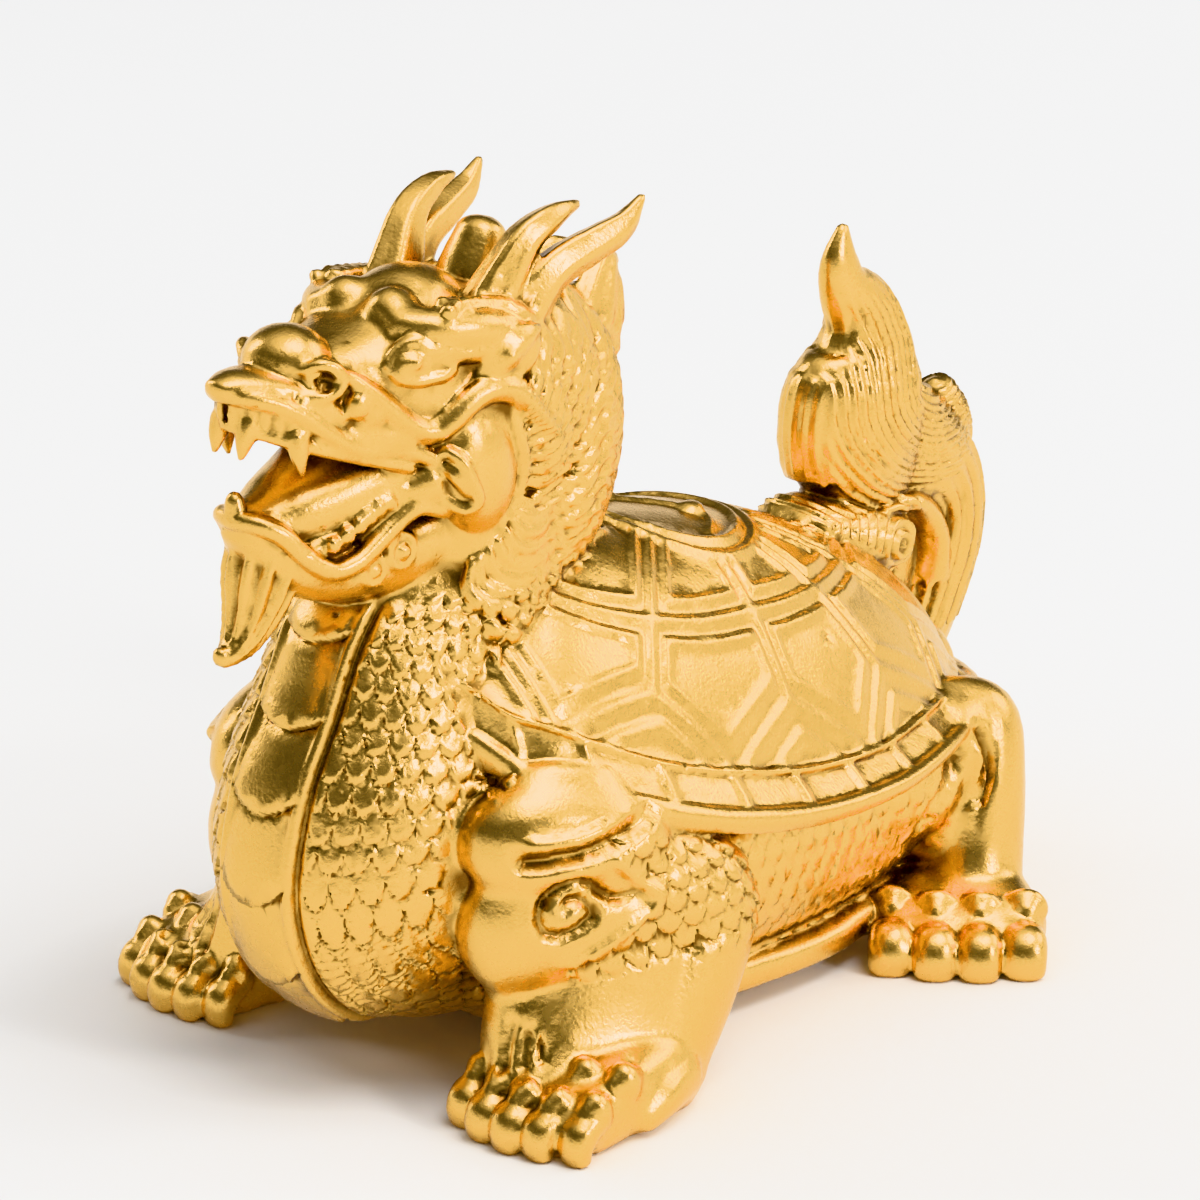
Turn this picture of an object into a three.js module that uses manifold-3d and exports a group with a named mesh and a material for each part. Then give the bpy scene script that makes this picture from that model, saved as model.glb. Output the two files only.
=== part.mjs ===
// Dragon turtle figure: one gilt casting that stands on its four feet.
// Millimetres, +Z up. The head faces -Y, and the figure's left side is +X.
import * as THREE from "three";
import { mergeVertices } from "three/addons/utils/BufferGeometryUtils.js";
import Module from "manifold-3d";

const wasm = await Module();
wasm.setup();

// Driving dimensions
const figureHeight = 98; // soles to the tips of the horns
const scaleRelief = 0.85; // how far a scale stands out of the skin
const seamDepth = 0.75; // depth of the seams between the plates of the shell
const strandDepth = 0.09; // depth of the grooves in the hair, as a share of a lock's width
const platesPerSide = 16; // plates along the rim on each side of the shell
const radialSeams = 8; // seams that run down the dome from the disc
const maneTiers = 4; // rows of locks in the mane

// Every place and width below is drawn for a figure of this height, and `share`
// brings it to the height wanted.
const drawnHeight = 98;
const share = figureHeight / drawnHeight;
const sideways = new THREE.Vector3(1, 0, 0);

// Joining and cutting

function solidOf(geometry) {
  const bare = geometry.clone();
  bare.deleteAttribute("normal");
  bare.deleteAttribute("uv");
  const merged = mergeVertices(bare, 1e-4);
  const vertProperties = new Float32Array(merged.attributes.position.array);
  const triVerts = new Uint32Array(merged.index.array);
  const solid = new wasm.Manifold(new wasm.Mesh({ numProp: 3, vertProperties, triVerts }));
  return solid;
}

function geometryOf(solid) {
  const mesh = solid.getMesh();
  const geometry = new THREE.BufferGeometry();
  geometry.setAttribute("position", new THREE.BufferAttribute(mesh.vertProperties, 3));
  geometry.setIndex(new THREE.BufferAttribute(mesh.triVerts, 1));
  return geometry;
}

function turnedOutwards(geometry) {
  const position = geometry.attributes.position;
  const index = geometry.index.array;
  const a = new THREE.Vector3();
  const b = new THREE.Vector3();
  const c = new THREE.Vector3();
  let volume = 0;
  for (let i = 0; i < index.length; i += 3) {
    a.fromBufferAttribute(position, index[i]);
    b.fromBufferAttribute(position, index[i + 1]);
    c.fromBufferAttribute(position, index[i + 2]);
    volume += a.dot(b.cross(c));
  }
  if (volume < 0) {
    for (let i = 0; i < index.length; i += 3) {
      [index[i + 1], index[i + 2]] = [index[i + 2], index[i + 1]];
    }
  }
  return geometry;
}

function mirrored(geometry) {
  return turnedOutwards(geometry.clone().scale(-1, 1, 1));
}

// Forms

// A value read off a list of [place, value] pairs, in straight steps between them.
function profile(pairs, place) {
  if (place <= pairs[0][0]) return pairs[0][1];
  for (let i = 1; i < pairs.length; i++) {
    const [x0, y0] = pairs[i - 1];
    const [x1, y1] = pairs[i];
    if (place <= x1) return y0 + (y1 - y0) * ((place - x0) / (x1 - x0));
  }
  return pairs[pairs.length - 1][1];
}

// A rounded form drawn along a smooth path. Each station is
// [x, y, z, half width, half height]; the half width lies along `side`.
// `ribs` grooves run along it, and `relief` lifts single points of its skin.
function form(stations, options = {}) {
  const { around = 8, along = 8, side = sideways, ribs = 0, square = 2, relief = null } = options;
  const centres = stations.map(([x, y, z]) => new THREE.Vector3(x, y, z));
  const widths = stations.map((station) => new THREE.Vector3(station[3], station[4], 0));
  const path = new THREE.CatmullRomCurve3(centres, false, "catmullrom", 0.5);
  const size = new THREE.CatmullRomCurve3(widths, false, "catmullrom", 0.5);
  const capAt = [stations[0], stations[stations.length - 1]].map((s) => (Math.min(s[3], s[4]) > 1 ? 1 : 0));
  const rings = along + capAt[0] + capAt[1];
  const geometry = new THREE.SphereGeometry(1, around, rings);
  const position = geometry.attributes.position;
  const point = new THREE.Vector3();
  for (let row = 0; row <= rings; row++) {
    let t = (row - capAt[0]) / along;
    let shrink = 1;
    let shift = 0;
    if (capAt[0] && row < 2) {
      t = 0;
      shrink = row === 0 ? 0 : 0.72;
      shift = row === 0 ? -0.75 : -0.5;
    } else if (capAt[1] && row > rings - 2) {
      t = 1;
      shrink = row === rings ? 0 : 0.72;
      shift = row === rings ? 0.75 : 0.5;
    } else if (row === 0 || row === rings) {
      shrink = 0;
    }
    t = Math.min(1, Math.max(0, t));
    const centre = path.getPoint(t);
    const width = size.getPoint(t);
    const tangent = path.getTangent(t);
    const across = side.clone().addScaledVector(tangent, -side.dot(tangent)).normalize();
    const over = new THREE.Vector3().crossVectors(tangent, across).normalize();
    centre.addScaledVector(tangent, shift * Math.min(width.x, width.y));
    for (let column = 0; column <= around; column++) {
      const angle = (2 * Math.PI * (column % around)) / around;
      const c = Math.cos(angle);
      const s = Math.sin(angle);
      const bend = 2 / square;
      let reach = shrink;
      if (ribs) reach *= 1 + strandDepth * Math.cos(ribs * angle);
      point.copy(centre);
      point.addScaledVector(across, Math.sign(c) * Math.abs(c) ** bend * width.x * reach);
      point.addScaledVector(over, Math.sign(s) * Math.abs(s) ** bend * width.y * reach);
      if (relief && shrink === 1) {
        const lift = relief(row, column % around, point) / share;
        point.addScaledVector(across, c * lift);
        point.addScaledVector(over, s * lift);
      }
      position.setXYZ(row * (around + 1) + column, point.x, point.y, point.z);
    }
  }
  if (relief) foldAcross(geometry, around, rings);
  return turnedOutwards(geometry.scale(share, share, share));
}

// Folds every other square of the grid the other way, so that each lifted point
// stands alone between its neighbours as one scale.
function foldAcross(geometry, around, rings) {
  const index = [];
  for (let row = 0; row < rings; row++) {
    for (let column = 0; column < around; column++) {
      const a = row * (around + 1) + column;
      const b = a + 1;
      const c = a + around + 1;
      const d = c + 1;
      if (row === 0) index.push(a, c, d);
      else if (row === rings - 1) index.push(a, c, b);
      else if ((row + column) % 2) index.push(a, c, d, a, d, b);
      else index.push(a, c, b, b, c, d);
    }
  }
  geometry.setIndex(index);
}

// A rounded lump: centre, half sizes and a turn about X.
function lump([x, y, z], [a, b, c], turn = 0, around = 8, rings = 6) {
  const geometry = new THREE.SphereGeometry(1, around, rings);
  geometry.rotateX(Math.PI / 2);
  geometry.scale(a, b, c);
  geometry.rotateX(turn);
  geometry.translate(x, y, z);
  return turnedOutwards(geometry.scale(share, share, share));
}

const pair = (geometry) => [geometry, mirrored(geometry)];

// Shell

// The outline of the rim is rounder in front than behind. The marginal plates stand
// between it and an inner line, from which the dome rises.
const shell = { middle: 11, front: 50, rear: 47.5, halfWidth: 32.5, discY: 8 };
const frontRound = 3;
const rearRound = 1.9;
const inner = { width: 0.86, front: 0.985, rear: 0.93 };
const domeRound = 2.4;

// Height of the edge of the rim, the rise from it to the inner line, and the height
// of the crest of the dome, each against the place along the body.
const edgeHeight = [[-39, 42], [-37, 39.7], [-35, 37.2], [-32, 35.7], [-20, 31], [-9, 27.6], [4, 25.2],
  [16, 24.6], [36, 25], [48, 24], [60, 22.6]];
const bandRise = [[-37, 8.8], [-30, 8.4], [-20, 7], [-5, 6.2], [6, 5.2], [16, 4.6], [40, 4.2], [62, 3]];
const crestHeight = [[-39, 48], [-31, 54.5], [-25, 57.4], [-18, 58.8], [-12, 58.8], [-4, 57.2], [8, 55],
  [18, 52.3], [29, 48], [41, 42.2], [50, 35.6], [56, 30], [62, 25]];

function rimPoint(angle) {
  const c = Math.cos(angle);
  const s = Math.sin(angle);
  const round = c > 0 ? frontRound : rearRound;
  const reach = (Math.abs(c) ** round + Math.abs(s) ** round) ** (-1 / round);
  const length = c > 0 ? shell.front : shell.rear;
  return [shell.halfWidth * s * reach, shell.middle - length * c * reach];
}

function domeHeight(x, y) {
  const ahead = y < shell.middle;
  const round = ahead ? frontRound : rearRound;
  const length = ahead ? shell.front * inner.front : shell.rear * inner.rear;
  const along = Math.min(0.999, Math.abs(y - shell.middle) / length);
  const halfWidth = shell.halfWidth * inner.width * (1 - along ** round) ** (1 / round);
  const foot = profile(edgeHeight, y) + profile(bandRise, y);
  const crest = Math.max(foot, profile(crestHeight, y));
  const out = Math.min(1, Math.abs(x) / halfWidth);
  return foot + (crest - foot) * (1 - out ** domeRound);
}

// The seams are sunken rows and columns of points: a ring round the disc, a ring
// halfway down, radial seams that fork above the rim, and the seams of the rim.
function shellForm() {
  const columns = 2 * platesPerSide;
  const forkEvery = columns / radialSeams;
  const domeRows = [0, 0.3, 0.35, 0.52, 0.58, 0.64, 0.82, 1];
  const sunkenRows = [2, 4];
  const fork = { start: 0.85, row: 6 };
  const band = [[0.93, 0.55], [1, 0.06], [0.92, -0.06]];
  const rows = domeRows.length + band.length;
  const geometry = new THREE.SphereGeometry(1, columns, rows);
  const position = geometry.attributes.position;
  const sink = seamDepth / share;
  for (let column = 0; column <= columns; column++) {
    const angle = (2 * Math.PI * (column % columns)) / columns;
    const [rimX, rimY] = rimPoint(angle);
    const ahead = rimY < shell.middle;
    const innerX = rimX * inner.width;
    const innerY = shell.middle + (rimY - shell.middle) * (ahead ? inner.front : inner.rear);
    const phase = (column + forkEvery / 2) % forkEvery;
    for (let row = 0; row <= rows; row++) {
      let x = 0;
      let y = shell.discY;
      let z = profile(edgeHeight, y);
      if (row < domeRows.length) {
        const t = domeRows[row];
        x = innerX * t;
        y += (innerY - shell.discY) * t;
        z = domeHeight(x, y);
        const onRadial = phase === 0 && t > domeRows[2] && t < fork.start;
        const onFork = row === fork.row && (phase === 1 || phase === forkEvery - 1);
        if (sunkenRows.includes(row) || onRadial || onFork) z -= sink;
      } else if (row < rows) {
        const [out, rise] = band[row - domeRows.length];
        x = rimX * out;
        y = shell.middle + (rimY - shell.middle) * out;
        z = profile(edgeHeight, rimY) + rise * profile(bandRise, rimY);
        if (row === domeRows.length) z += column % 2 ? sink / 2 : -sink / 2;
      }
      position.setXYZ(row * (columns + 1) + column, x, y, z);
    }
  }
  return turnedOutwards(geometry.scale(share, share, share));
}

// Raised dot of the two-part sign on the disc of the shell.
function discDot(x, y) {
  return lump([x, y, domeHeight(x, y) + 0.2], [1.7, 1.7, 1], 0, 6, 4);
}

// Neck, chest and trunk

// The smooth belly band runs down the front of the neck, between the scales.
const bandHalfAngle = 0.45;
const frontAngle = 0.5 * Math.PI;

function neckAndChest() {
  const around = 18;
  const scales = (row, column) => {
    const angle = (2 * Math.PI * column) / around;
    const inBand = Math.abs(angle - frontAngle) < bandHalfAngle;
    return !inBand && (row + column) % 2 ? scaleRelief : 0;
  };
  return form([
    [0, -22, 66, 10.4, 10],
    [0, -25.6, 58, 11.8, 12.8],
    [0, -28.8, 50, 13.2, 17.8],
    [0, -31, 42, 15.6, 20],
    [0, -32, 34, 17.2, 24],
    [0, -31.2, 27, 17.8, 25.6],
    [0, -27.5, 22.4, 16.6, 20.6],
    [0, -22, 17.2, 14.5, 16.8],
    [0, -17, 13, 11, 9.6],
  ], { around, along: 10, relief: scales });
}

function trunk() {
  const flankScales = (row, column, point) => {
    const onFlank = Math.abs(point.x) > 18 && point.z > 8;
    return onFlank && (row + column) % 2 ? 0.6 * scaleRelief : 0;
  };
  return form([
    [0, -28, 20, 17, 15.5],
    [0, -16, 18.5, 24, 15.5],
    [0, 0, 18.2, 27, 15.4],
    [0, 20, 18.6, 27.2, 15.2],
    [0, 34, 20, 24.5, 14.4],
    [0, 45, 21.6, 18.5, 12],
    [0, 53, 23, 11, 7.5],
  ], { around: 14, along: 7, square: 2.6, relief: flankScales });
}

// The belly plate closes the underside.
function plastron() {
  return form([
    [0, -27, 6.6, 12, 3.6],
    [0, -14, 5.6, 21.6, 3.8],
    [0, 4, 5.2, 26, 3.6],
    [0, 18, 5.4, 26.2, 3.6],
    [0, 32, 7.2, 21.6, 3.8],
    [0, 46, 11, 14, 4],
  ], { around: 8, along: 5, square: 5 });
}

// Legs

// Stops along a toe: reach ahead of its root, height, half width and half height.
const frontToe = {
  count: 5,
  spacing: 3.9,
  arc: 0.5, // how far the outer toes start behind the inner ones
  stops: [[1, 6, 1.9, 2.6], [3.6, 7, 2.1, 2.6], [6.2, 5.4, 1.8, 2.2], [8.8, 5.2, 2.1, 2.2], [11, 2.2, 1.9, 2.6]],
};
const hindToe = {
  count: 4,
  spacing: 5.3,
  arc: 0.4,
  stops: [[-0.6, 4.4, 2.4, 2.6], [3, 6, 2.5, 2.8], [5.8, 3.6, 2.4, 2.2], [9.4, 2, 2.5, 2.2]],
};

// Toes side by side in an arc, each with its knuckles and a blunt claw.
function toes(kind, x, y, heading, foremost) {
  const ahead = new THREE.Vector3(Math.sin(heading), -Math.cos(heading), 0);
  const across = new THREE.Vector3(Math.cos(heading), Math.sin(heading), 0);
  const toe = [];
  for (let i = 0; i < kind.count; i++) {
    const place = i - (kind.count - 1) / 2;
    const root = new THREE.Vector3(x, y, 0);
    root.addScaledVector(across, place * kind.spacing);
    root.addScaledVector(ahead, -kind.arc * (place - foremost) ** 2);
    const stations = kind.stops.map(([reach, z, halfWidth, halfHeight]) => {
      const stop = root.clone().addScaledVector(ahead, reach);
      return [stop.x, stop.y, z, halfWidth, halfHeight];
    });
    toe.push(form(stations, { around: 4, along: kind.stops.length - 1, side: across }));
  }
  return toe;
}

// The arm is a broad slab set slantwise, its front edge nearer to the chest. The smooth
// shoulder ends in two lobes in front, and the foot spreads out under the arm.
const armSlant = 0.45;

function frontLeg() {
  const side = new THREE.Vector3(Math.cos(armSlant), -Math.sin(armSlant), 0);
  const armScales = (row, column) => (row > 1 && row < 6 && (row + column) % 2 ? scaleRelief : 0);
  return [
    // shoulder
    form([
      [21.5, -29.5, 37, 3.6, 7],
      [22.3, -30.6, 33, 5.8, 11.2],
      [22.6, -31, 30, 6.2, 11.8],
      [22.6, -31, 26.8, 6, 10.8],
      [22.6, -31.2, 22.6, 6.3, 12],
      [23, -30.6, 19, 5.6, 11],
      [23.4, -30, 16.4, 4, 8],
    ], { around: 8, along: 6, side, square: 2.5 }),
    // upper arm with its scales, back of the forearm, broad front of the forearm
    form([
      [21, -33, 25.5, 6, 8],
      [24.6, -24, 24, 6.8, 9],
      [27.6, -16, 21.4, 6, 7.6],
      [28.8, -12.4, 18, 5, 5.8],
    ], { around: 8, along: 5, relief: armScales }),
    form([
      [28.6, -13.6, 18.4, 5.2, 6],
      [28.8, -16.8, 13.4, 5.6, 6.4],
      [28.6, -20.4, 8.4, 6.2, 6.8],
      [28, -24, 4, 7.4, 6.8],
    ], { around: 8, along: 3, square: 2.3 }),
    form([
      [24.4, -28.4, 20, 6, 11.6],
      [25, -28.6, 14, 6.5, 13.2],
      [25.6, -29.6, 8, 7.2, 13.4],
      [26.6, -31, 3, 8, 13],
    ], { around: 8, along: 3, side, square: 2.4 }),
    // foot, spur behind it
    form([
      [27.4, -28, 3.6, 9, 4.8],
      [27.3, -35, 3.4, 9.6, 4.4],
      [27.3, -40.6, 2.4, 9.2, 3.4],
      [27.3, -43.4, 1.6, 8.4, 2],
    ], { around: 8, along: 3, square: 3 }),
    form([
      [34, -24, 3.6, 2.4, 3],
      [36, -29, 3.4, 2, 2.4],
      [36.4, -33, 2, 1.5, 1.7],
    ], { around: 5, along: 2 }),
    ...toes(frontToe, 27.3, -33.7, 0, -0.3),
  ];
}

const hindFoot = { x: 30.4, y: 30.2, heading: 0.66 };

function hindLeg() {
  const { x, y, heading } = hindFoot;
  const side = new THREE.Vector3(Math.cos(heading), Math.sin(heading), 0);
  return [
    lump([20, 27.5, 20], [8.8, 14.5, 8.6], -0.12, 7, 5),
    lump([23, 37, 22], [6.2, 8.2, 7.4], 0, 7, 5),
    lump([22.6, 35.6, 13], [6.6, 6, 8], 0, 6, 4),
    form([
      [21.5, 37.6, 25.6, 4.4, 4.6],
      [24.6, 41.2, 24.4, 4.6, 4.8],
      [26.6, 39.6, 18, 4.8, 5.4],
      [27.8, 37.6, 10, 5.2, 6],
      [28, 35.6, 5, 6.4, 6.4],
    ], { around: 8, along: 5 }),
    form([
      [x - 2.6, y + 4, 4, 8.6, 4.6],
      [x, y, 3.4, 10.8, 4.4],
      [x + 3.4, y - 4.4, 2.4, 10.4, 3.2],
      [x + 4.8, y - 6.2, 1.8, 9.8, 2.2],
    ], { around: 8, along: 3, side, square: 3 }),
    ...toes(hindToe, x, y, heading, 0),
  ];
}

// Tail: a thick stem from the rump, one tall flame of hair on it, a scroll at its foot,
// a lobe behind it and a thin web that closes the curl of the scroll.

function tail() {
  const stem = form([
    [0, 56.6, 22, 3.6, 4],
    [0, 62.8, 28.6, 3.5, 3.8],
    [0, 66.2, 37, 3.8, 4.3],
    [0, 63.8, 45, 4.5, 5.4],
    [0, 57, 50.6, 5.6, 7],
    [0, 50, 54, 5.6, 6.6],
  ], { around: 8, along: 6 });
  const flame = form([
    [0, 44.4, 44.6, 5.2, 8],
    [0, 45.9, 49, 6.3, 9.9],
    [0, 46.2, 54, 6.6, 10.6],
    [0, 46.4, 58, 6.3, 10.7],
    [0, 47, 62, 5.5, 10],
    [0, 47.6, 66, 4.5, 7.6],
    [0, 46.5, 70, 3.4, 5.2],
    [0, 44, 73.6, 2.5, 3.3],
    [0, 43.2, 77, 1.8, 2.5],
    [0, 43.7, 80.8, 0.7, 0.8],
  ], { around: 12, along: 9, ribs: 6 });
  const scroll = form([
    [0, 34, 41.8, 5.2, 4.4],
    [0, 42, 42.2, 5.6, 4.4],
    [0, 50, 41.4, 5.4, 4],
    [0, 55.6, 39.4, 5, 3],
    [0, 58, 36, 4, 2],
    [0, 55.6, 34, 3.4, 1.5],
  ], { around: 7, along: 6 });
  const lobe = form([
    [0, 63.8, 45, 3.2, 3.8],
    [0, 64.3, 51, 3.1, 3.7],
    [0, 62.3, 55.6, 2.5, 2.9],
  ], { around: 7, along: 2 });
  const web = lump([0, 58.4, 37], [2.4, 6.6, 8.6], 0, 6, 4);
  return [stem, flame, scroll, lobe, web];
}

// Head

function head() {
  return [
    // skull and muzzle
    form([
      [0, -57, 83.4, 3.6, 1.6],
      [0, -52, 82.8, 5.6, 3],
      [0, -46, 82.4, 7.7, 5.4],
      [0, -37, 80.6, 10.2, 9.6],
      [0, -28, 77.4, 12.2, 13],
      [0, -18, 74, 11.4, 14.4],
      [0, -12, 72, 9.4, 13],
    ], { around: 9, along: 5, square: 2.3 }),
    // nose, forehead, tip of the upper lip
    lump([0, -49.8, 85.6], [4.9, 4.7, 3.9], 0, 8, 6),
    lump([0, -31.6, 87.4], [6.2, 7, 4.8], 0, 8, 5),
    form([
      [0, -59.6, 84.7, 1.8, 1.1],
      [0, -57.6, 84.5, 2.9, 1.5],
      [0, -54.6, 83.8, 4.4, 1.8],
      [0, -51, 83, 5.6, 1.8],
    ], { around: 6, along: 3 }),
    // gums
    form([
      [0, -57, 80.8, 2.6, 1.3],
      [0, -50, 78.8, 4.8, 2.2],
      [0, -43, 77, 5.8, 3],
    ], { around: 6, along: 2 }),
    // jaw, tongue, ball at the tip of the jaw
    form([
      [0, -28, 66, 9.6, 6.4],
      [0, -37, 63, 8.8, 5.4],
      [0, -46, 62.2, 7.2, 4.4],
      [0, -52.4, 64.4, 5.4, 3.3],
      [0, -57, 68.2, 3, 1.7],
    ], { around: 8, along: 5, square: 2.4 }),
    form([
      [0, -34, 73, 8.2, 4.6],
      [0, -42, 72.2, 6.6, 3.8],
      [0, -49, 70.8, 4.6, 2.8],
      [0, -54.6, 69.8, 2.4, 1.6],
    ], { around: 8, along: 3 }),
    lump([0, -57.8, 71], [1.2, 1.2, 1.9], 0, 5, 3),
    // crest between the horns
    form([
      [0, -21.4, 88, 4.4, 4],
      [0, -19.6, 93.2, 3.1, 2.9],
    ], { around: 7, along: 1 }),
    // beard
    form([
      [0, -53.4, 66, 4, 3.4],
      [0, -54.6, 62, 3.9, 3.5],
      [0, -55.9, 58.6, 3.1, 2.7],
      [0, -57.8, 55.8, 2.2, 1.7],
      [0, -60.6, 54.6, 0.8, 0.8],
    ], { around: 8, along: 4, ribs: 4 }),
  ];
}

// What the head has on both sides.
function headSide() {
  return [
    // wing of the nostril, brow with its bump, eye
    lump([5.3, -48.4, 84.6], [1.5, 2.4, 2], 0.3, 6, 4),
    lump([3.4, -36.8, 88.8], [2.9, 3, 2.7], 0, 7, 5),
    form([
      [5.4, -37.4, 87.8, 2.1, 1.9],
      [9.2, -33.4, 87.6, 2.4, 2.2],
      [11, -27.4, 87, 1.8, 1.8],
    ], { around: 6, along: 3 }),
    lump([7.9, -39.2, 84.8], [1.7, 2.2, 1.9], 0, 6, 5),
    // cheek
    lump([10.2, -31.4, 71], [3.4, 5.2, 7.2], 0.15, 7, 5),
    // whisker: it dips under the eye and rises over the cheek
    form([
      [6.6, -47.6, 84.8, 0.7, 0.8],
      [8.4, -42.8, 80.2, 1.1, 1.2],
      [9.8, -38, 76.9, 1.2, 1.3],
      [11.5, -33.3, 79.6, 1.2, 1.5],
      [12.6, -28, 79.8, 1.2, 1.5],
      [12.7, -23.1, 74.9, 1.1, 1.3],
      [11.8, -19.4, 74.2, 0.4, 0.5],
    ], { around: 5, along: 7 }),
    // roll of the upper lip, fangs
    form([
      [2.2, -58.4, 83.7, 0.9, 0.9],
      [5.6, -52.4, 80.8, 1, 1],
      [7, -47.2, 76.9, 1, 1],
      [8.1, -41.8, 75.2, 1, 1],
      [9.8, -37, 73.2, 0.9, 0.9],
    ], { around: 5, along: 4 }),
    form([
      [2, -56.6, 81.6, 1.2, 1.4],
      [2, -58, 77.2, 0.3, 0.3],
    ], { around: 5, along: 2 }),
    form([
      [5.1, -52.6, 80.6, 1.2, 1.5],
      [5.6, -53.2, 74.8, 0.3, 0.3],
    ], { around: 5, along: 2 }),
    // roll of the lower lip
    form([
      [1, -57.9, 69.8, 1, 1],
      [4.4, -55, 68.1, 1.1, 1.1],
      [6.6, -50, 63.4, 1.1, 1.1],
      [7.6, -44.8, 65, 1.1, 1.1],
      [8.9, -39.2, 68.5, 1.1, 1.1],
      [10, -36, 67.4, 0.9, 0.9],
    ], { around: 5, along: 6 }),
    // ear
    form([
      [11.2, -31, 81.4, 0.9, 1.5],
      [12.4, -27.6, 84.6, 1.2, 2.2],
      [12.8, -24, 86, 0.4, 0.5],
    ], { around: 5, along: 3 }),
    // horn with two branches
    form([
      [6.8, -27, 85.4, 3.2, 4.2],
      [7.8, -24.8, 90.4, 2.6, 3.4],
      [8.6, -22.2, 94.6, 2, 2.6],
      [9.3, -17.8, 96.6, 1.35, 1.4],
      [9.4, -14.3, 97.2, 0.5, 0.5],
    ], { around: 5, along: 5 }),
    form([
      [9, -23, 86, 2.4, 3],
      [10, -19, 90.6, 2, 2.4],
      [11, -14, 92.6, 1.7, 2.1],
      [11.9, -9.6, 94.2, 1.3, 1.7],
      [12.3, -6.8, 97, 0.5, 0.5],
    ], { around: 5, along: 5 }),
  ];
}

// The mane: a ruff of locks swept back from the cheeks, with a jagged rear edge.
const maneTop = 82;
const maneDepth = 22;
const lockLength = 15;

function mane() {
  const locks = [
    [[7, -12, 68, 2.4, 3.4], [6.4, -9, 76, 2.8, 4.6], [5.2, -5.8, 82.6, 2.4, 4.4], [4.2, -2.6, 87, 1, 1.6]],
    [[5, -10, 60, 2.2, 3.2], [4.6, -7, 67, 2.2, 3.6], [3.6, -3, 75, 0.7, 0.9]],
  ];
  for (let tier = 0; tier < maneTiers; tier++) {
    const drop = tier / (maneTiers - 1);
    const z = maneTop - maneDepth * drop;
    const tipY = -7 - 4 * drop;
    locks.push([
      [10.6, tipY - lockLength, z - 2.6, 2, 2.6],
      [12.2, tipY - 0.6 * lockLength, z - 2, 2, 3.6],
      [11.2, tipY - 0.25 * lockLength, z, 1.8, 2.8],
      [9.4, tipY, z + 3.4, 0.5, 0.7],
    ]);
  }
  const core = form([
    [0, -16, 82.4, 6.6, 6],
    [0, -13.6, 76, 8.6, 8.6],
    [0, -14, 67, 10, 9.4],
    [0, -17, 59.5, 10.4, 8.4],
  ], { around: 8, along: 3 });
  const hair = locks.map((stations) => form(stations, { around: 5, along: 2 }));
  return [core, ...hair.flatMap(pair)];
}

// Assembly: every form is joined into one casting, which is cut flat under the feet.

const forms = [
  neckAndChest(),
  trunk(),
  plastron(),
  shellForm(),
  discDot(-3.6, 4.4),
  discDot(3.6, 11.6),
  ...tail(),
  ...head(),
  ...headSide().flatMap(pair),
  ...mane(),
  ...frontLeg().flatMap(pair),
  ...hindLeg().flatMap(pair),
];

let casting = solidOf(forms[0]);
for (const next of forms.slice(1)) casting = casting.add(solidOf(next));

const ground = new THREE.BoxGeometry(3 * figureHeight, 3 * figureHeight, figureHeight);
ground.translate(0, 0, -figureHeight / 2);
casting = casting.subtract(solidOf(ground));

// The origin is on the ground under the middle of the figure.
const figureGeometry = geometryOf(casting);
figureGeometry.computeBoundingBox();
const middle = figureGeometry.boundingBox.getCenter(new THREE.Vector3());
figureGeometry.translate(-middle.x, -middle.y, 0);
figureGeometry.computeVertexNormals();

const gilt = new THREE.MeshStandardMaterial({ color: 0xd8a23a, metalness: 1, roughness: 0.32 });
const figure = new THREE.Mesh(figureGeometry, gilt);
figure.name = "dragon_turtle";

const object = new THREE.Group();
object.add(figure);
export default object;
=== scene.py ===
import math

import bmesh
import bpy
import numpy as np
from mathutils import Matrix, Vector
from mathutils.bvhtree import BVHTree
from mathutils.kdtree import KDTree


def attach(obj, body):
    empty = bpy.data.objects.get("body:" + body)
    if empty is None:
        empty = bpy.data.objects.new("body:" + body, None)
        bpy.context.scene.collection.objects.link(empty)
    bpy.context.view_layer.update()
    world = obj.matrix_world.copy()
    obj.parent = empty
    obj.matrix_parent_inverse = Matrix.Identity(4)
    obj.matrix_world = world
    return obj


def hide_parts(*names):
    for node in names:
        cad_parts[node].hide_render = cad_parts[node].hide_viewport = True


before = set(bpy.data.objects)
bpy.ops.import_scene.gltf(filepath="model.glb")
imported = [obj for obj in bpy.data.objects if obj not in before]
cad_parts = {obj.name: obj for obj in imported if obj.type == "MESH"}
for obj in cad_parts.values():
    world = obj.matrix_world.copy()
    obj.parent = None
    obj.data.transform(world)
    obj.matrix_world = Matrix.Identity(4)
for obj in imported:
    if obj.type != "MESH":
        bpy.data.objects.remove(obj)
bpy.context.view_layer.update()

# Camera: it looks down on the figure's left side from ahead, through a long lens, and
# the whole figure stands in the frame.
camera_data = bpy.data.cameras.new("camera")
camera_data.sensor_width = 36
camera_data.lens = 141.9
camera_data.clip_start = 0.01
camera = bpy.data.objects.new("camera", camera_data)
bpy.context.scene.collection.objects.link(camera)
camera_turn, camera_rise, camera_reach = math.radians(42), math.radians(20), 0.55
camera_aim = Vector((0, -0.004801, 0.045))
camera_back = Vector((
    math.sin(camera_turn) * math.cos(camera_rise),
    -math.cos(camera_turn) * math.cos(camera_rise),
    math.sin(camera_rise),
))
camera.location = camera_aim + camera_back * camera_reach
camera.rotation_euler = camera_back.to_track_quat("Z", "Y").to_euler()
bpy.context.scene.camera = camera

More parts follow.
